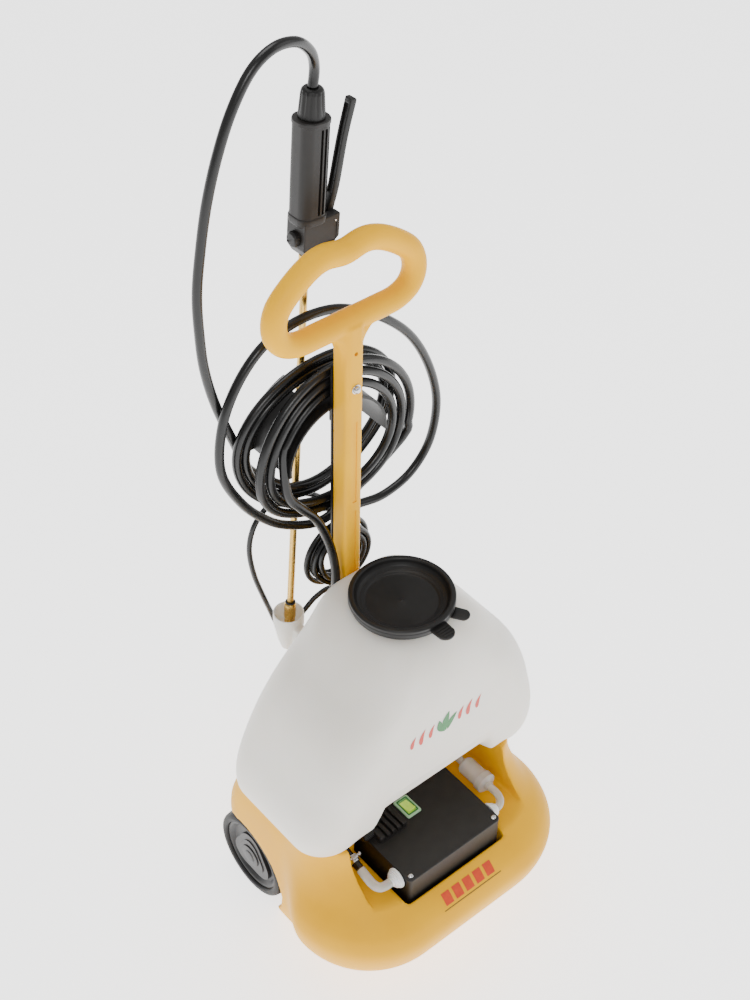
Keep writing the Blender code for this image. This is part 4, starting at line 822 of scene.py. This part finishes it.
def make_hanger():
    depth = SADDLE_Y1 - SADDLE_Y0
    saddle = prism("saddle", half_ring(SADDLE_R, SADDLE_R - 0.0035, 0.004), depth,
                   turned_at((0, SADDLE_Y0 + depth / 2, SADDLE_Z), FORWARD))
    flange = prism("flange", half_ring(0.098, SADDLE_R - 0.002, 0.003), 0.0035,
                   turned_at((0, SADDLE_Y1 - 0.0019, SADDLE_Z), FORWARD))
    plate = block("plate", (-0.0125, SADDLE_Y0 + 0.0001, HOOK_Z - 0.008),
                  (0.0125, SADDLE_Y0 + 0.0034, 0.962))
    rib = block("rib", (-0.0015, SADDLE_Y0 + 0.002, RIB_Z), (0.0015, SADDLE_Y0 + 0.020, RIB_Z + 0.0380))
    hook = rod("hook", HOOK_R, -0.0170, 0.0170, turned_at((HOOK_X, SADDLE_Y0 + 0.0180, HOOK_Z), FORWARD),
               24)
    tip = rod("hook_tip", HOOK_R - 0.0005, -0.008, 0.008, turned_at((HOOK_X, 0.1433, HOOK_Z + 0.0065)), 24)
    combine(saddle, "UNION", flange, plate, rib, hook, tip)
    cut(saddle, block("lance_slot", (-0.0290, 0.1560, 0.86), (-0.0080, 0.25, 0.96)),
        rod("hanger_hole", 0.0034, -0.01, 0.01, turned_at((0, SADDLE_Y0, BOLT_Z), FORWARD), 24))
    saddle.name = "hanger"
    return bevel(saddle, 0.0008, 2)


piece(make_hanger(), BLACK, nodes=("hose_hanger",))


# ---- wheels ----
def lobed(r, wave, count, points=144):
    """A round outline with count soft lobes."""
    out = []
    for i in range(points):
        a = 2 * math.pi * i / points
        q = r + wave * math.cos(count * a)
        out.append((q * math.cos(a), q * math.sin(a)))
    return out


def make_wheel(side, word):
    body = f"{word}_wheel"
    hub = turned_at((side * WHEEL_OUT_X, WHEEL_Y, WHEEL_R), (0, side * math.pi / 2, 0))
    deep = -WHEEL_W
    tyre = lathe(
        f"{word}_tyre",
        [(RIM_R + GAP, -0.0040), (0.0625, -0.0012), (0.0680, -0.0005), (0.0722, -0.0028), (0.0741, -0.0068),
         (WHEEL_R - 0.0010, -0.0070), (WHEEL_R, -0.0130), (WHEEL_R, deep + 0.013), (0.0725, deep + 0.003),
         (0.068, deep + 0.0005), (RIM_R + GAP, deep + 0.004)],
        hub, 128, ring=True, radius=0.0012,
    )
    piece(tyre, TYRE, body, (f"tyre_{word}",))
    rim = lathe(
        f"{word}_rim_ring",
        [(0.0125, -0.0120), (0.0470, -0.0120), (0.0500, -0.0122), (0.0540, -0.0080), (0.0565, -0.0058),
         (RIM_R, -0.0055), (RIM_R, deep + 0.0055), (0.056, deep + 0.006), (0.052, -0.020), (0.018, -0.020),
         (0.016, deep), (0.0065, deep), (0.0065, -0.0145), (0.0125, -0.0145)],
        hub, 128, ring=True, radius=0.0008,
    )
    plate = prism(f"{word}_plate", lobed(0.0405, 0.0050, 3), 0.0075, hub @ turned_at((0, 0, -0.0092)))
    dish = prism(f"{word}_dish", lobed(0.0290, 0.0035, 3), 0.0100, hub @ turned_at((0, 0, -0.0087)))
    combine(rim, "UNION", plate)
    combine(rim, "UNION", dish)
    eye = rod(f"{word}_eye", 0.0128, -0.03, 0.03, hub @ turned_at((0, 0, -0.008)))
    cut(rim, eye)
    piece(bevel(rim, 0.0010, 3), GREY, body, (f"rim_{word}",))
    cap = lathe(
        f"{word}_cap",
        [(0, -0.0001), (0.0085, -0.0001), (0.0105, -0.0006), (0.0118, -0.0016), (0.0126, -0.0016),
         (0.0190, -0.0018), (0.0200, -0.0026), (0.0198, -0.0034), (0.0122, -0.0034), (0.0122, -0.0075),
         (0.0105, -0.0075), (0.0105, -0.0024), (0, -0.0020)],
        hub, 72, radius=0.0006,
    )
    piece(cap, GREY, body, (f"hub_cap_{word}",))


make_wheel(-1, "left")
make_wheel(1, "right")

# ---- pump box ----
SCREW_IN = 0.0085
BOX_SCREWS = [
    (x, y) for y in (BOX_Y0 + SCREW_IN, BOX_Y1 - SCREW_IN) for x in (BOX_X0 + SCREW_IN, BOX_X1 - SCREW_IN)
]


def make_tub():
    """The tub of the pump box: solid to the eye, with its wall holes as shallow bores."""
    top = BOX_TOP_Z - BOX_LID - GAP
    middle = ((BOX_X0 + BOX_X1) / 2, (BOX_Y0 + BOX_Y1) / 2, 0.0)
    half = ((BOX_X1 - BOX_X0) / 2 - 0.0006, (BOX_Y1 - BOX_Y0) / 2 - 0.0006)
    low = WELL_FLOOR_Z + 0.0016
    tub = loft("tub", [squircle(half[0] - 0.003, half[1] - 0.003, 0.0045, low),
                       squircle(half[0], half[1], 0.0065, low + 0.003),
                       squircle(half[0], half[1], 0.0065, top)],
               turned_at(middle))
    hollow = loft("tub_hollow", [squircle(half[0] - 0.003, half[1] - 0.003, 0.0045,
                                          z) for z in (low + 0.003, 0.30)],
                  turned_at(middle))
    cut(hollow, *[rod(f"pillar_{i}", 0.0058, 0.12, 0.28, turned_at((x, y, 0)), 24)
                  for i, (x, y) in enumerate(BOX_SCREWS)])
    cut(tub, hollow)
    cut(tub, *[rod(f"pillar_hole_{i}", 0.0023, -0.015, 0.015, turned_at((x, y, top)), 16)
               for i, (x, y) in enumerate(BOX_SCREWS)])
    cut(tub, rod("outlet_hole", 0.0083, -0.01, 0.01, turned_at((BOX_X0, PORT_Y, PORT_Z), LEFTWARD), 32),
        rod("inlet_hole", 0.0083, -0.01, 0.01, turned_at((BOX_X1, PORT_Y, PORT_Z), LEFTWARD), 32),
        rod("gland_hole", 0.0063, -0.01, 0.01, turned_at((GLAND_X, BOX_Y1, GLAND_Z), BACKWARD), 32))
    return bevel(tub, 0.0005, 2)


piece(make_tub(), BLACK, nodes=("pump_box_tub",))


def make_box_lid():
    middle = ((BOX_X0 + BOX_X1) / 2, (BOX_Y0 + BOX_Y1) / 2, 0.0)
    half = ((BOX_X1 - BOX_X0) / 2, (BOX_Y1 - BOX_Y0) / 2)
    low, top = BOX_TOP_Z - BOX_LID, BOX_TOP_Z
    lid = loft("box_lid", [
        squircle(half[0], half[1], 0.0075, low), squircle(half[0], half[1], 0.0075, top - 0.0016),
        squircle(half[0] - 0.0007, half[1] - 0.0007, 0.0070, top - 0.0004),
        squircle(half[0] - 0.0018, half[1] - 0.0018, 0.0065, top),
    ], turned_at(middle))
    hood_levels = ((BOX_TOP_Z - 0.003, 0.0), (BOX_TOP_Z + 0.0085, 0.0), (BOX_TOP_Z + 0.0105, 0.0010),
                   (BOX_TOP_Z + 0.0110, 0.0025))
    hood_mid = ((HOOD_X - 0.0340) / 2, (-0.0950 - 0.0510) / 2, 0.0)
    hood = loft("hood", [squircle(0.0260 - less, 0.0220 - less, 0.004, z) for z, less in hood_levels],
                turned_at(hood_mid))
    combine(lid, "UNION", hood)
    grooves = []
    for k in range(4):
        x = HOOD_X + 0.0090 + 0.0100 * k
        grooves.append(block(f"hood_groove_{k}", (x, -0.10, BOX_TOP_Z + 0.0040),
                             (x + 0.0045, -0.040, 0.30)))
    x0, y0, x1, y1 = SWITCH
    cut(lid, *grooves, block("switch_hole", (x0 + 0.0035, y0 + 0.0035, 0.20),
                             (x1 - 0.0035, y1 - 0.0035, 0.26)),
        *[rod(f"lid_hole_{i}", 0.0023, -0.015, 0.015, turned_at((x, y, BOX_TOP_Z)), 16)
          for i, (x, y) in enumerate(BOX_SCREWS)],
        rod("knob_hole", 0.0030, -0.008, 0.008, turned_at(KNOB, LEFTWARD), 24))
    return bevel(lid, 0.0005, 2)


piece(make_box_lid(), BLACK_GRAINED, nodes=("pump_box_lid",))

for i, (x, y) in enumerate(BOX_SCREWS):
    screw = lathe(
        f"lid_screw_{i + 1}",
        [(0, 0.0014), (0.0010, 0.0016), (0.0013, 0.0027), (0.0024, 0.0024), (0.0040, 0.0012), (0.0042, GAP),
         (0.0020, GAP), (0.0020, -0.0120), (0, -0.0120)],
        turned_at((x, y, BOX_TOP_Z)), 32, radius=0.0003,
    )
    piece(screw, STEEL, nodes=(f"box_screw_{i + 1}",))


def knurl(count, depth, low, high):
    """A radius that dips between count ribs, from low to high."""
    def wave(a, r, z):
        if not low <= z <= high:
            return r
        return r - depth * (0.5 - 0.5 * math.cos(count * a)) ** 2
    return wave


knob = lathe(
    "knob",
    [(0, 0.0182), (0.0040, 0.0182), (0.0046, 0.0190), (0.0065, 0.0190), (0.0085, 0.0175), (0.0092, 0.0150),
     (0.0092, 0.0030), (0.0082, 0.0006), (0.0027, 0.0006), (0.0027, -0.0060), (0, -0.0060)],
    turned_at(KNOB, LEFTWARD), 120, wave=knurl(20, 0.0007, 0.0020, 0.0160),
)
piece(knob, BLACK, "knob", ("pressure_knob",))


def make_switch():
    x0, y0, x1, y1 = SWITCH
    top = BOX_TOP_Z + GAP
    middle = ((x0 + x1) / 2, (y0 + y1) / 2, 0.0)
    half_x, half_y = (x1 - x0) / 2, (y1 - y0) / 2
    rim = loft("switch_rim", [
        squircle(half_x, half_y, 0.0030, top), squircle(half_x, half_y, 0.0030, top + 0.0020),
        squircle(half_x - 0.0012, half_y - 0.0012, 0.0024, top + 0.0030),
    ], turned_at(middle))
    sleeve = block("sleeve", (x0 + 0.0040, y0 + 0.0040, 0.2190), (x1 - 0.0040, y1 - 0.0040, top + 0.0010))
    combine(rim, "UNION", sleeve)
    cut(rim, block("opening", (x0 + 0.0055, y0 + 0.0055, 0.2205), (x1 - 0.0055, y1 - 0.0055, 0.26)))
    piece(bevel(rim, 0.0004, 2), PALE_GREEN, nodes=("switch_frame",))
    liner_rings = [squircle(half_x - 0.0033, half_y - 0.0033, 0.0018, top + z) for z in (0.0029, 0.0033)]
    liner = loft("switch_liner", liner_rings, turned_at(middle))
    cut(liner, block("liner_opening", (x0 + 0.0055, y0 + 0.0055, 0.2205), (x1 - 0.0055, y1 - 0.0055, 0.26)))
    piece(liner, DARK_GREEN)
    reach_x, reach_y = half_x - 0.0062, half_y - 0.0078
    side = [(-reach_y, -0.0050), (reach_y, -0.0050), (reach_y, 0.0018), (reach_y * 0.5, 0.0021),
            (0.0, 0.0030),
            (-reach_y * 0.5, 0.0043), (-reach_y, 0.0062)]
    rocker = prism("rocker_key", side, 2 * reach_x,
                   turned_at((middle[0], middle[1], top + 0.0005), (math.pi / 2, 0, math.pi / 2)))
    piece(bevel(rocker, 0.0005, 3, 25), GLOW_GREEN, "rocker", ("switch_rocker",))


make_switch()


def port_profile(flange_r):
    """A hose bush with three steps down to its spigot."""
    return [
        (0.0040, 0.0150), (0.0070, 0.0150), (0.0070, 0.0118), (0.0100, 0.0118), (0.0104, 0.0096),
        (flange_r - 0.0032, 0.0092), (flange_r - 0.0030, 0.0078), (flange_r - 0.0036, 0.0074),
        (flange_r - 0.0018, 0.0068), (flange_r - 0.0016, 0.0052), (flange_r - 0.0022, 0.0048),
        (flange_r - 0.0002, 0.0042), (flange_r, 0.0028), (flange_r, 0.0012), (0.0080, 0.0012),
        (0.0080, -0.0080), (0.0040, -0.0080),
    ]


outlet = lathe("outlet", port_profile(0.0160), turned_at((BOX_X0, PORT_Y, PORT_Z), LEFTWARD), 72, ring=True,
               radius=0.0003, angle=25)
piece(outlet, WHITE, nodes=("outlet_bush",))
inlet = lathe("inlet", port_profile(0.0145), turned_at((BOX_X1, PORT_Y, PORT_Z), RIGHTWARD), 72, ring=True,
              radius=0.0003, angle=25)
piece(inlet, WHITE, nodes=("inlet_bush",))

OUTLET_X = BOX_X0 - 0.0150 - GAP
elbow = tube("outlet_elbow_visual", catmull(
    [(OUTLET_X, PORT_Y, PORT_Z), (OUTLET_X - 0.008, PORT_Y, PORT_Z), (-0.1300, -0.1440, 0.2240),
     (-0.1350, -0.1330, 0.2270), (-0.1350, -0.1080, 0.2325)], 0.002), 0.0071)
piece(elbow, CLEAR, nodes=("outlet_elbow",))
INLET_X = BOX_X1 + 0.0150 + GAP
FILTER_X, FILTER_Y, FILTER_Z = 0.1170, -0.1130, 0.2240
inlet_bend = tube("inlet_elbow_visual", catmull(
    [(INLET_X, PORT_Y, PORT_Z), (INLET_X + 0.006, PORT_Y, PORT_Z), (0.1130, -0.1400, 0.2235),
     (FILTER_X, -0.1280, FILTER_Z), (FILTER_X, FILTER_Y - GAP, FILTER_Z)], 0.002), 0.0061)
piece(inlet_bend, CLEAR, nodes=("inlet_elbow",))
FILTER_LONG = 0.0700
strainer_bowl = lathe(
    "inlet_filter_visual",
    [(0, FILTER_LONG), (0.0060, FILTER_LONG), (0.0062, 0.0600), (0.0125, 0.0575), (0.0150, 0.0540),
     (0.0150, 0.0200), (0.0172, 0.0190), (0.0172, 0.0080), (0.0140, 0.0060), (0.0075, 0.0045), (0.0075, 0),
     (0, 0)],
    turned_at((FILTER_X, FILTER_Y, FILTER_Z), BACKWARD), 72, radius=0.0009,
    wave=knurl(24, 0.0006, 0.0085, 0.0185),
)
piece(strainer_bowl, CLEAR, nodes=("inlet_filter",))
SUCTION = catmull(
    [(FILTER_X, FILTER_Y + FILTER_LONG + GAP, FILTER_Z), (FILTER_X, -0.030, 0.2242),
     (0.1165, -0.008, 0.2250),
     (0.1150, 0.010, 0.2290), (0.1125, 0.0260, 0.2400), (0.112, 0.030, 0.2500), (0.112, 0.030, 0.2560)],
     0.002)
suction = tube("suction_hose_visual", SUCTION, 0.0063)
piece(suction, CLEAR, nodes=("suction_hose",))

# the clamp: a band with a worm screw on top
clamp_turn = Matrix.Translation(CLAMP_AT) @ HOSE_OUT.to_track_quat("Z", "Y").to_matrix().to_4x4()
band = lathe("band", [(HOSE_R + 2 * GAP, 0.0045), (HOSE_R + 0.0018, 0.0045), (HOSE_R + 0.0018, -0.0045),
                      (HOSE_R + 2 * GAP, -0.0045)], clamp_turn, 72, ring=True, radius=0.0002)
housing = block("housing", (-0.1400, -0.0965, 0.2440), (-0.1300, -0.0880, 0.2486))
worm = lathe("worm", [(0, 0.0130), (0.0018, 0.0130), (0.0030, 0.0118), (0.0030, 0.0098), (0.0017, 0.0090),
                      (0.0017, -0.0060), (0, -0.0060)], turned_at((-0.1358, -0.0922, 0.2462), RIGHTWARD),
                      32)
clamp = merge("clamp", band, bevel(housing, 0.0008, 2), worm)
piece(clamp, STEEL, nodes=("hose_clamp",))

# ---- lance and gun ----
axis = (LANCE_HEAD - LANCE_FOOT).normalized()
side_x = (Vector((1, 0, 0)) - axis * axis.x).normalized()
LANCE = Matrix.Translation(LANCE_FOOT) @ Matrix((side_x, axis.cross(side_x), axis)).transposed().to_4x4()

nozzle = lathe(
    "nozzle",
    [(TUBE_R + GAP, 0.0190), (0.0072, 0.0190), (0.0086, 0.0165), (0.0086, -0.0060), (0.0078, -0.0085),
     (0.0078, -0.0180), (0.0062, -0.0220), (0.0012, -0.0220), (0.0012, -0.0120), (TUBE_R + GAP, -0.0110)],
    LANCE, 96, ring=True, wave=knurl(24, 0.0004, 0.0, 0.0150),
)
piece(nozzle, BRASS, "nozzle", ("nozzle_nut",))
lance_tube = lathe(
    "tube", [(0, GUN_LOW + 0.0295), (TUBE_R, GUN_LOW + 0.0295), (TUBE_R, -0.0100), (0, -0.0100)], LANCE, 48,
)
piece(lance_tube, BRASS, nodes=("lance_tube",))
collar = lathe(
    "collar",
    [(TUBE_R + GAP, GUN_LOW - GAP), (0.0085, GUN_LOW - GAP), (0.0085, GUN_LOW - 0.0120),
     (0.0066, GUN_LOW - 0.0160), (TUBE_R + GAP, GUN_LOW - 0.0170)],
    LANCE, 48, ring=True,
)
piece(collar, BRASS, nodes=("lance_collar",))


# half width, half depth, corner radius, height along the lance
GUN_LEVELS = (
    (0.0196, 0.0176, 0.012, GUN_BODY - 0.0060), (0.0204, 0.0184, 0.012, GUN_BODY - 0.0045),
    (0.0212, 0.0192, 0.013, GUN_BODY - 0.0030), (0.0216, 0.0196, 0.013, GUN_BODY + 0.0030),
    (0.0212, 0.0192, 0.013, GUN_BODY + 0.0050), (0.0205, 0.0186, 0.013, GUN_BODY + 0.0058),
    (0.0208, 0.0187, 0.013, GUN_BODY + 0.0500), (0.0208, 0.0187, 0.013, GUN_TOP - 0.0080),
    (0.0212, 0.0190, 0.014, GUN_TOP - 0.0065), (0.0230, 0.0208, 0.018, GUN_TOP - 0.0058),
    (0.0230, 0.0208, 0.018, GUN_TOP - 0.0016), (0.0222, 0.0200, 0.017, GUN_TOP),
)


def make_gun():
    """The grip: deep slots in front and towards the lever, a lip at its top and a band at its foot."""
    grip = loft("gun", [squircle(*level) for level in GUN_LEVELS], LANCE, 30)
    outline = [
        (PLUG_X, GUN_BODY), (PLUG_X, GUN_LOW + 0.014), (-0.0080, GUN_LOW), (0.0130, GUN_LOW),
        (0.0380, GUN_LOW + 0.022), (0.0380, GUN_BODY + 0.0030),
    ]
    valve = prism("valve_block", outline, 0.0360, LANCE @ turned_at(turn=FORWARD))
    bevel(valve, 0.0016, 3)
    bake(valve)
    combine(grip, "UNION", valve)
    slots = [
        block(f"slot_{k}", (0.0150, y - 0.0021, GUN_BODY + 0.0075), (0.040, y + 0.0021, GUN_TOP - 0.0110),
              LANCE)
        for k, y in enumerate((-0.0045, 0.0045, 0.0128))
    ]
    slots += [
        block(f"front_slot_{k}", (x - half, -0.030, GUN_BODY + 0.0080),
              (x + half, -0.0120, GUN_TOP - 0.0110), LANCE)
        for k, (x, half) in enumerate(((0.0030, 0.0017), (0.0090, 0.0017), (0.0150, 0.0015)))
    ]
    recess = block("block_recess", (0.0060, -0.030, GUN_LOW + 0.0180),
                   (0.0330, -0.0172, GUN_BODY - 0.0050), LANCE)
    cut(
        grip, *slots, recess,
        rod("gun_bore", TUBE_R + GAP, GUN_LOW - 0.03, GUN_LOW + 0.03, LANCE, 48),
        rod("hose_bore", 0.0105, GUN_TOP - 0.015, GUN_TOP + 0.015, LANCE, 48),
        block("fork", (0.0230, -0.0066, GUN_BODY - 0.0150), (0.0480, 0.0066, GUN_BODY + 0.030), LANCE),
        rod("pin_bore", 0.0018, -0.025, 0.025, LANCE @ turned_at((LEVER_X, 0, LEVER_Z), FORWARD), 24),
        rod("plug_bore", 0.0070, -0.010, 0.010, LANCE @ turned_at((PLUG_X, 0, PLUG_Z), LEFTWARD), 32),
    )
    return bevel(grip, 0.0005, 2)


piece(make_gun(), BLACK_GRAINED, nodes=("gun_body",))


def make_lever():
    """A long curved trigger: a channel that is narrow above its pin and widens to a blunt top."""
    place = LANCE @ turned_at((LEVER_X, 0, LEVER_Z))
    outer = catmull([(0.0040, -0.0050, 0), (0.0058, 0.0100, 0), (0.0090, 0.0220, 0), (0.0118, 0.0330, 0),
                     (0.0150, 0.0500, 0), (0.0225, 0.1000, 0), (0.0322, 0.1420, 0)], 0.004)
    inner = catmull([(0.0235, 0.1480, 0), (0.0130, 0.1000, 0), (0.0050, 0.0500, 0), (0.0020, 0.0330, 0),
                     (-0.0005, 0.0220, 0), (-0.0040, 0.0100, 0), (-0.0040, -0.0050, 0)], 0.004)
    outline = [(p.x, p.y) for p in outer] + [(0.0326, 0.1455),
                                             (0.0300, 0.1478)] + [(p.x, p.y) for p in inner]
    lever = prism("lever", outline, 0.0124, place @ turned_at(turn=FORWARD))
    bevel(lever, 0.0016, 3)
    bake(lever)
    channel = [(x - 0.0060, z) for x, z in ((0.0098, 0.0300), (0.0150, 0.0560), (0.0225, 0.1020),
                                            (0.0300, 0.1400))]
    channel += [(x, z) for x, z in ((0.0100, 0.1480), (-0.0100, 0.0300))]
    trough = prism("trough", channel, 0.0082, place @ turned_at(turn=FORWARD))
    cut(lever, trough, rod("lever_bore", 0.0018, -0.025, 0.025, place @ turned_at(turn=FORWARD), 24))
    return lever


piece(make_lever(), BLACK, "trigger", ("gun_lever",))

cap = lathe(
    "valve_cap",
    [(0, 0.0075), (0.0080, 0.0075), (0.0100, 0.0060), (0.0105, 0.0040), (0.0105, GAP), (0.0067, GAP),
     (0.0067, -0.0090), (0, -0.0090)],
    LANCE @ turned_at((PLUG_X, 0, PLUG_Z), LEFTWARD), 96, wave=knurl(18, 0.0005, 0.0008, 0.0050),
    radius=0.0008,
)
cut(cap, block("coin_slot", (-0.0010, -0.0085, 0.0058), (0.0010, 0.0085, 0.0100),
               LANCE @ turned_at((PLUG_X, 0, PLUG_Z), LEFTWARD) @ turned_at(turn=(0, 0, 0.6))))
piece(cap, BLACK, nodes=("valve_plug",))

nut_top = GUN_END - GAP
nut = lathe(
    "hose_nut_visual",
    [(HOSE_R + GAP, nut_top), (0.0108, nut_top), (0.0132, nut_top - 0.0022), (0.0146, nut_top - 0.0060),
     (0.0157, nut_top - 0.0200), (0.0168, GUN_TOP + 0.0010), (0.0168, GUN_TOP + GAP),
     (0.0102, GUN_TOP + GAP),
     (0.0102, GUN_TOP - 0.0130), (HOSE_R + GAP, GUN_TOP - 0.0130)],
    LANCE, 144, ring=True, wave=knurl(12, 0.0014, GUN_TOP + 0.002, nut_top - 0.0050), radius=0.0006,
)
piece(nut, BLACK, nodes=("hose_nut",))

# ---- lance cup ----
CUP = Vector((-0.0560, 0.1560, 0.0))
cup = lathe(
    "cup",
    [(0, 0.4740), (0.0150, 0.4752), (0.0180, 0.4790), (0.0200, 0.4880), (0.0205, 0.5060), (0.0225, 0.5060),
     (0.0230, 0.5000), (0.0226, 0.4860), (0.0170, 0.4550), (0.0125, 0.4380), (0, 0.4360)],
    turned_at(CUP), 72, radius=0.0010,
)
arm_back = 0.0995
arm = loft("cup_arm", [
    [(CUP.x - 0.009, arm_back, z), (CUP.x + 0.009, arm_back, z), (CUP.x + 0.009, CUP.y - 0.016, z),
     (CUP.x - 0.009, CUP.y - 0.016, z)] for z in (0.4580, 0.4930)
])
bevel(arm, 0.0030, 3)
bake(arm)
combine(cup, "UNION", arm)
cup.name = "cup_visual"
piece(cup, MILKY, nodes=("lance_cup",))


# ---- printed marks ----
def strip(name, left, right, target, along, lift=0.00035, across=8):
    """A thin printed shape between two edges, laid on a body's face by casting along a direction."""
    tree = BVHTree.FromObject(target, bpy.context.evaluated_depsgraph_get())
    back = target.matrix_world.inverted()
    bm = bmesh.new()
    grid = []
    for a, b in zip(left, right):
        row = []
        for k in range(across + 1):
            p = SHIFT @ Vector(a).lerp(Vector(b), k / across)
            hit, normal, _, _ = tree.ray_cast(back @ p, back.to_3x3() @ Vector(along))
            spot = target.matrix_world @ hit + (target.matrix_world.to_3x3() @ normal) * lift
            row.append(bm.verts.new(SHIFT.inverted() @ spot))
        grid.append(row)
    for one, two in zip(grid, grid[1:]):
        for k in range(across):
            bm.faces.new((one[k], one[k + 1], two[k + 1], two[k]))
    m = bpy.data.meshes.new(name)
    bm.to_mesh(m)
    bm.free()
    m.shade_smooth()
    return new_object(name, m)


def leaf_edges(start, end, width, y, point=1.0, count=20):
    """Two edges of a leaf or a drop on the plane of one y, from start to end."""
    start, end = Vector(start), Vector(end)
    way = end - start
    side = Vector((-way.y, way.x)).normalized()
    left, right = [], []
    for i in range(count + 1):
        t = i / count
        half = width / 2 * math.sin(math.pi * t**point) ** 0.8
        mid = start + way * t + side * 0.10 * way.length * math.sin(math.pi * t)
        for edge, sign in ((left, 1), (right, -1)):
            spot = mid + side * sign * max(half, 0.00005)
            edge.append((spot.x, y, spot.y))
    return left, right


bpy.context.view_layer.update()
MARK_Z = 0.4770
for k, (x, tall, wide) in enumerate(
    ((-0.060, 0.020, 0.0070), (-0.043, 0.026, 0.0080), (-0.026, 0.022, 0.0070), (0.028, 0.022, 0.0070),
     (0.044, 0.027, 0.0080), (0.061, 0.023, 0.0070))
):
    low = (x - 0.003, MARK_Z - tall * 0.5)
    high = (x + 0.004, MARK_Z + tall * 0.6)
    drop = strip(f"mark_drop_{k}", *leaf_edges(low, high, wide, -0.20, 0.6), tank, (0, 1, 0))
    piece(drop, RED_INK)
for k, (low, high, wide) in enumerate((
    ((-0.002, -0.016), (-0.014, 0.014), 0.011), ((0.000, -0.016), (0.004, 0.022), 0.012),
    ((0.003, -0.016), (0.019, 0.010), 0.010),
)):
    leaf = strip(f"mark_leaf_{k}", *leaf_edges((low[0], MARK_Z + low[1]), (high[0], MARK_Z + high[1]),
                                               wide, -0.20),
                 tank, (0, 1, 0))
    piece(leaf, GREEN_INK)


def bar_edges(x0, x1, z0, z1, y, lean=0.0, count=24):
    left = [(x0 + (x1 - x0) * i / count + lean, y, z1) for i in range(count + 1)]
    right = [(x0 + (x1 - x0) * i / count, y, z0) for i in range(count + 1)]
    return left, right


LIP_Z0, LIP_Z1 = 0.1700, 0.1830
for k in range(5):
    x0 = -0.050 + 0.0205 * k
    bar = strip(f"lip_bar_{k}", *bar_edges(x0, x0 + 0.0150, LIP_Z0, LIP_Z1, -0.30), base, (0, 1, 0))
    piece(bar, ORANGE_INK)
line = strip("lip_line", *bar_edges(-0.056, 0.056, 0.1655, 0.1667, -0.30), base, (0, 1, 0), across=2)
piece(line, GREY_INK)

# ---- the small parts kept as packed ----
KEPT = {
    "axle": STEEL, "cable_gland": BLACK, "foot_left": RUBBER, "foot_right": RUBBER,
    "handle_screw": STEEL, "hanger_nut": STEEL, "lever_pin": STEEL, "nozzle_oring": RUBBER,
    "pump_head": GREY,
    "pump_motor": BLACK, "push_nut_left": STEEL, "push_nut_right": STEEL, "tank_outlet": BLACK,
}
for name, material in KEPT.items():
    node = NODES.get(name)
    if node is None or node.hide_render:
        continue
    node.data.materials.clear()
    node.data.materials.append(material)
    weld = node.modifiers.new("weld", "WELD")
    weld.merge_threshold = 0.00002
    bevel(node, 0.0003, 2, 40)

# ---- studio ----
def area(name, place, aim, size, power):
    """A round soft light."""
    light = bpy.data.lights.new(name, "AREA")
    light.shape = "DISK"
    light.size = size
    light.energy = power
    o = bpy.data.objects.new(name, light)
    bpy.context.scene.collection.objects.link(o)
    o.location = place
    o.rotation_euler = (Vector(aim) - Vector(place)).to_track_quat("-Z", "Y").to_euler()
    return o


area("key", (-1.8, -2.2, 3.4), (0.0, 0.0, 0.5), 1.4, 44.0)
area("fill", (2.4, -1.6, 2.4), (0.0, 0.0, 0.5), 2.2, 14.0)
area("top", (0.2, 0.8, 3.6), (0.0, 0.0, 0.4), 1.8, 32.0)

bm = bmesh.new()
HALF_FLOOR = 14.0
bm.faces.new([bm.verts.new((x, y, -0.0002)) for x, y in (
    (-HALF_FLOOR, -HALF_FLOOR), (HALF_FLOOR, -HALF_FLOOR), (HALF_FLOOR, HALF_FLOOR),
    (-HALF_FLOOR, HALF_FLOOR),
)])
floor = mesh_object("floor", bm)
floor.data.materials.append(surface("floor", (0.88, 0.88, 0.88), (0.90, 0.90, 0.90), 0.75, 2, 400, 0.02,
                                    Emission_Color=(1.0, 1.0, 1.0, 1.0), Emission_Strength=2.2))

world = bpy.data.worlds.new("studio")
world.use_nodes = True
world.node_tree.nodes["Background"].inputs["Color"].default_value = (1.0, 1.0, 1.0, 1.0)
world.node_tree.nodes["Background"].inputs["Strength"].default_value = 0.66
bpy.context.scene.world = world
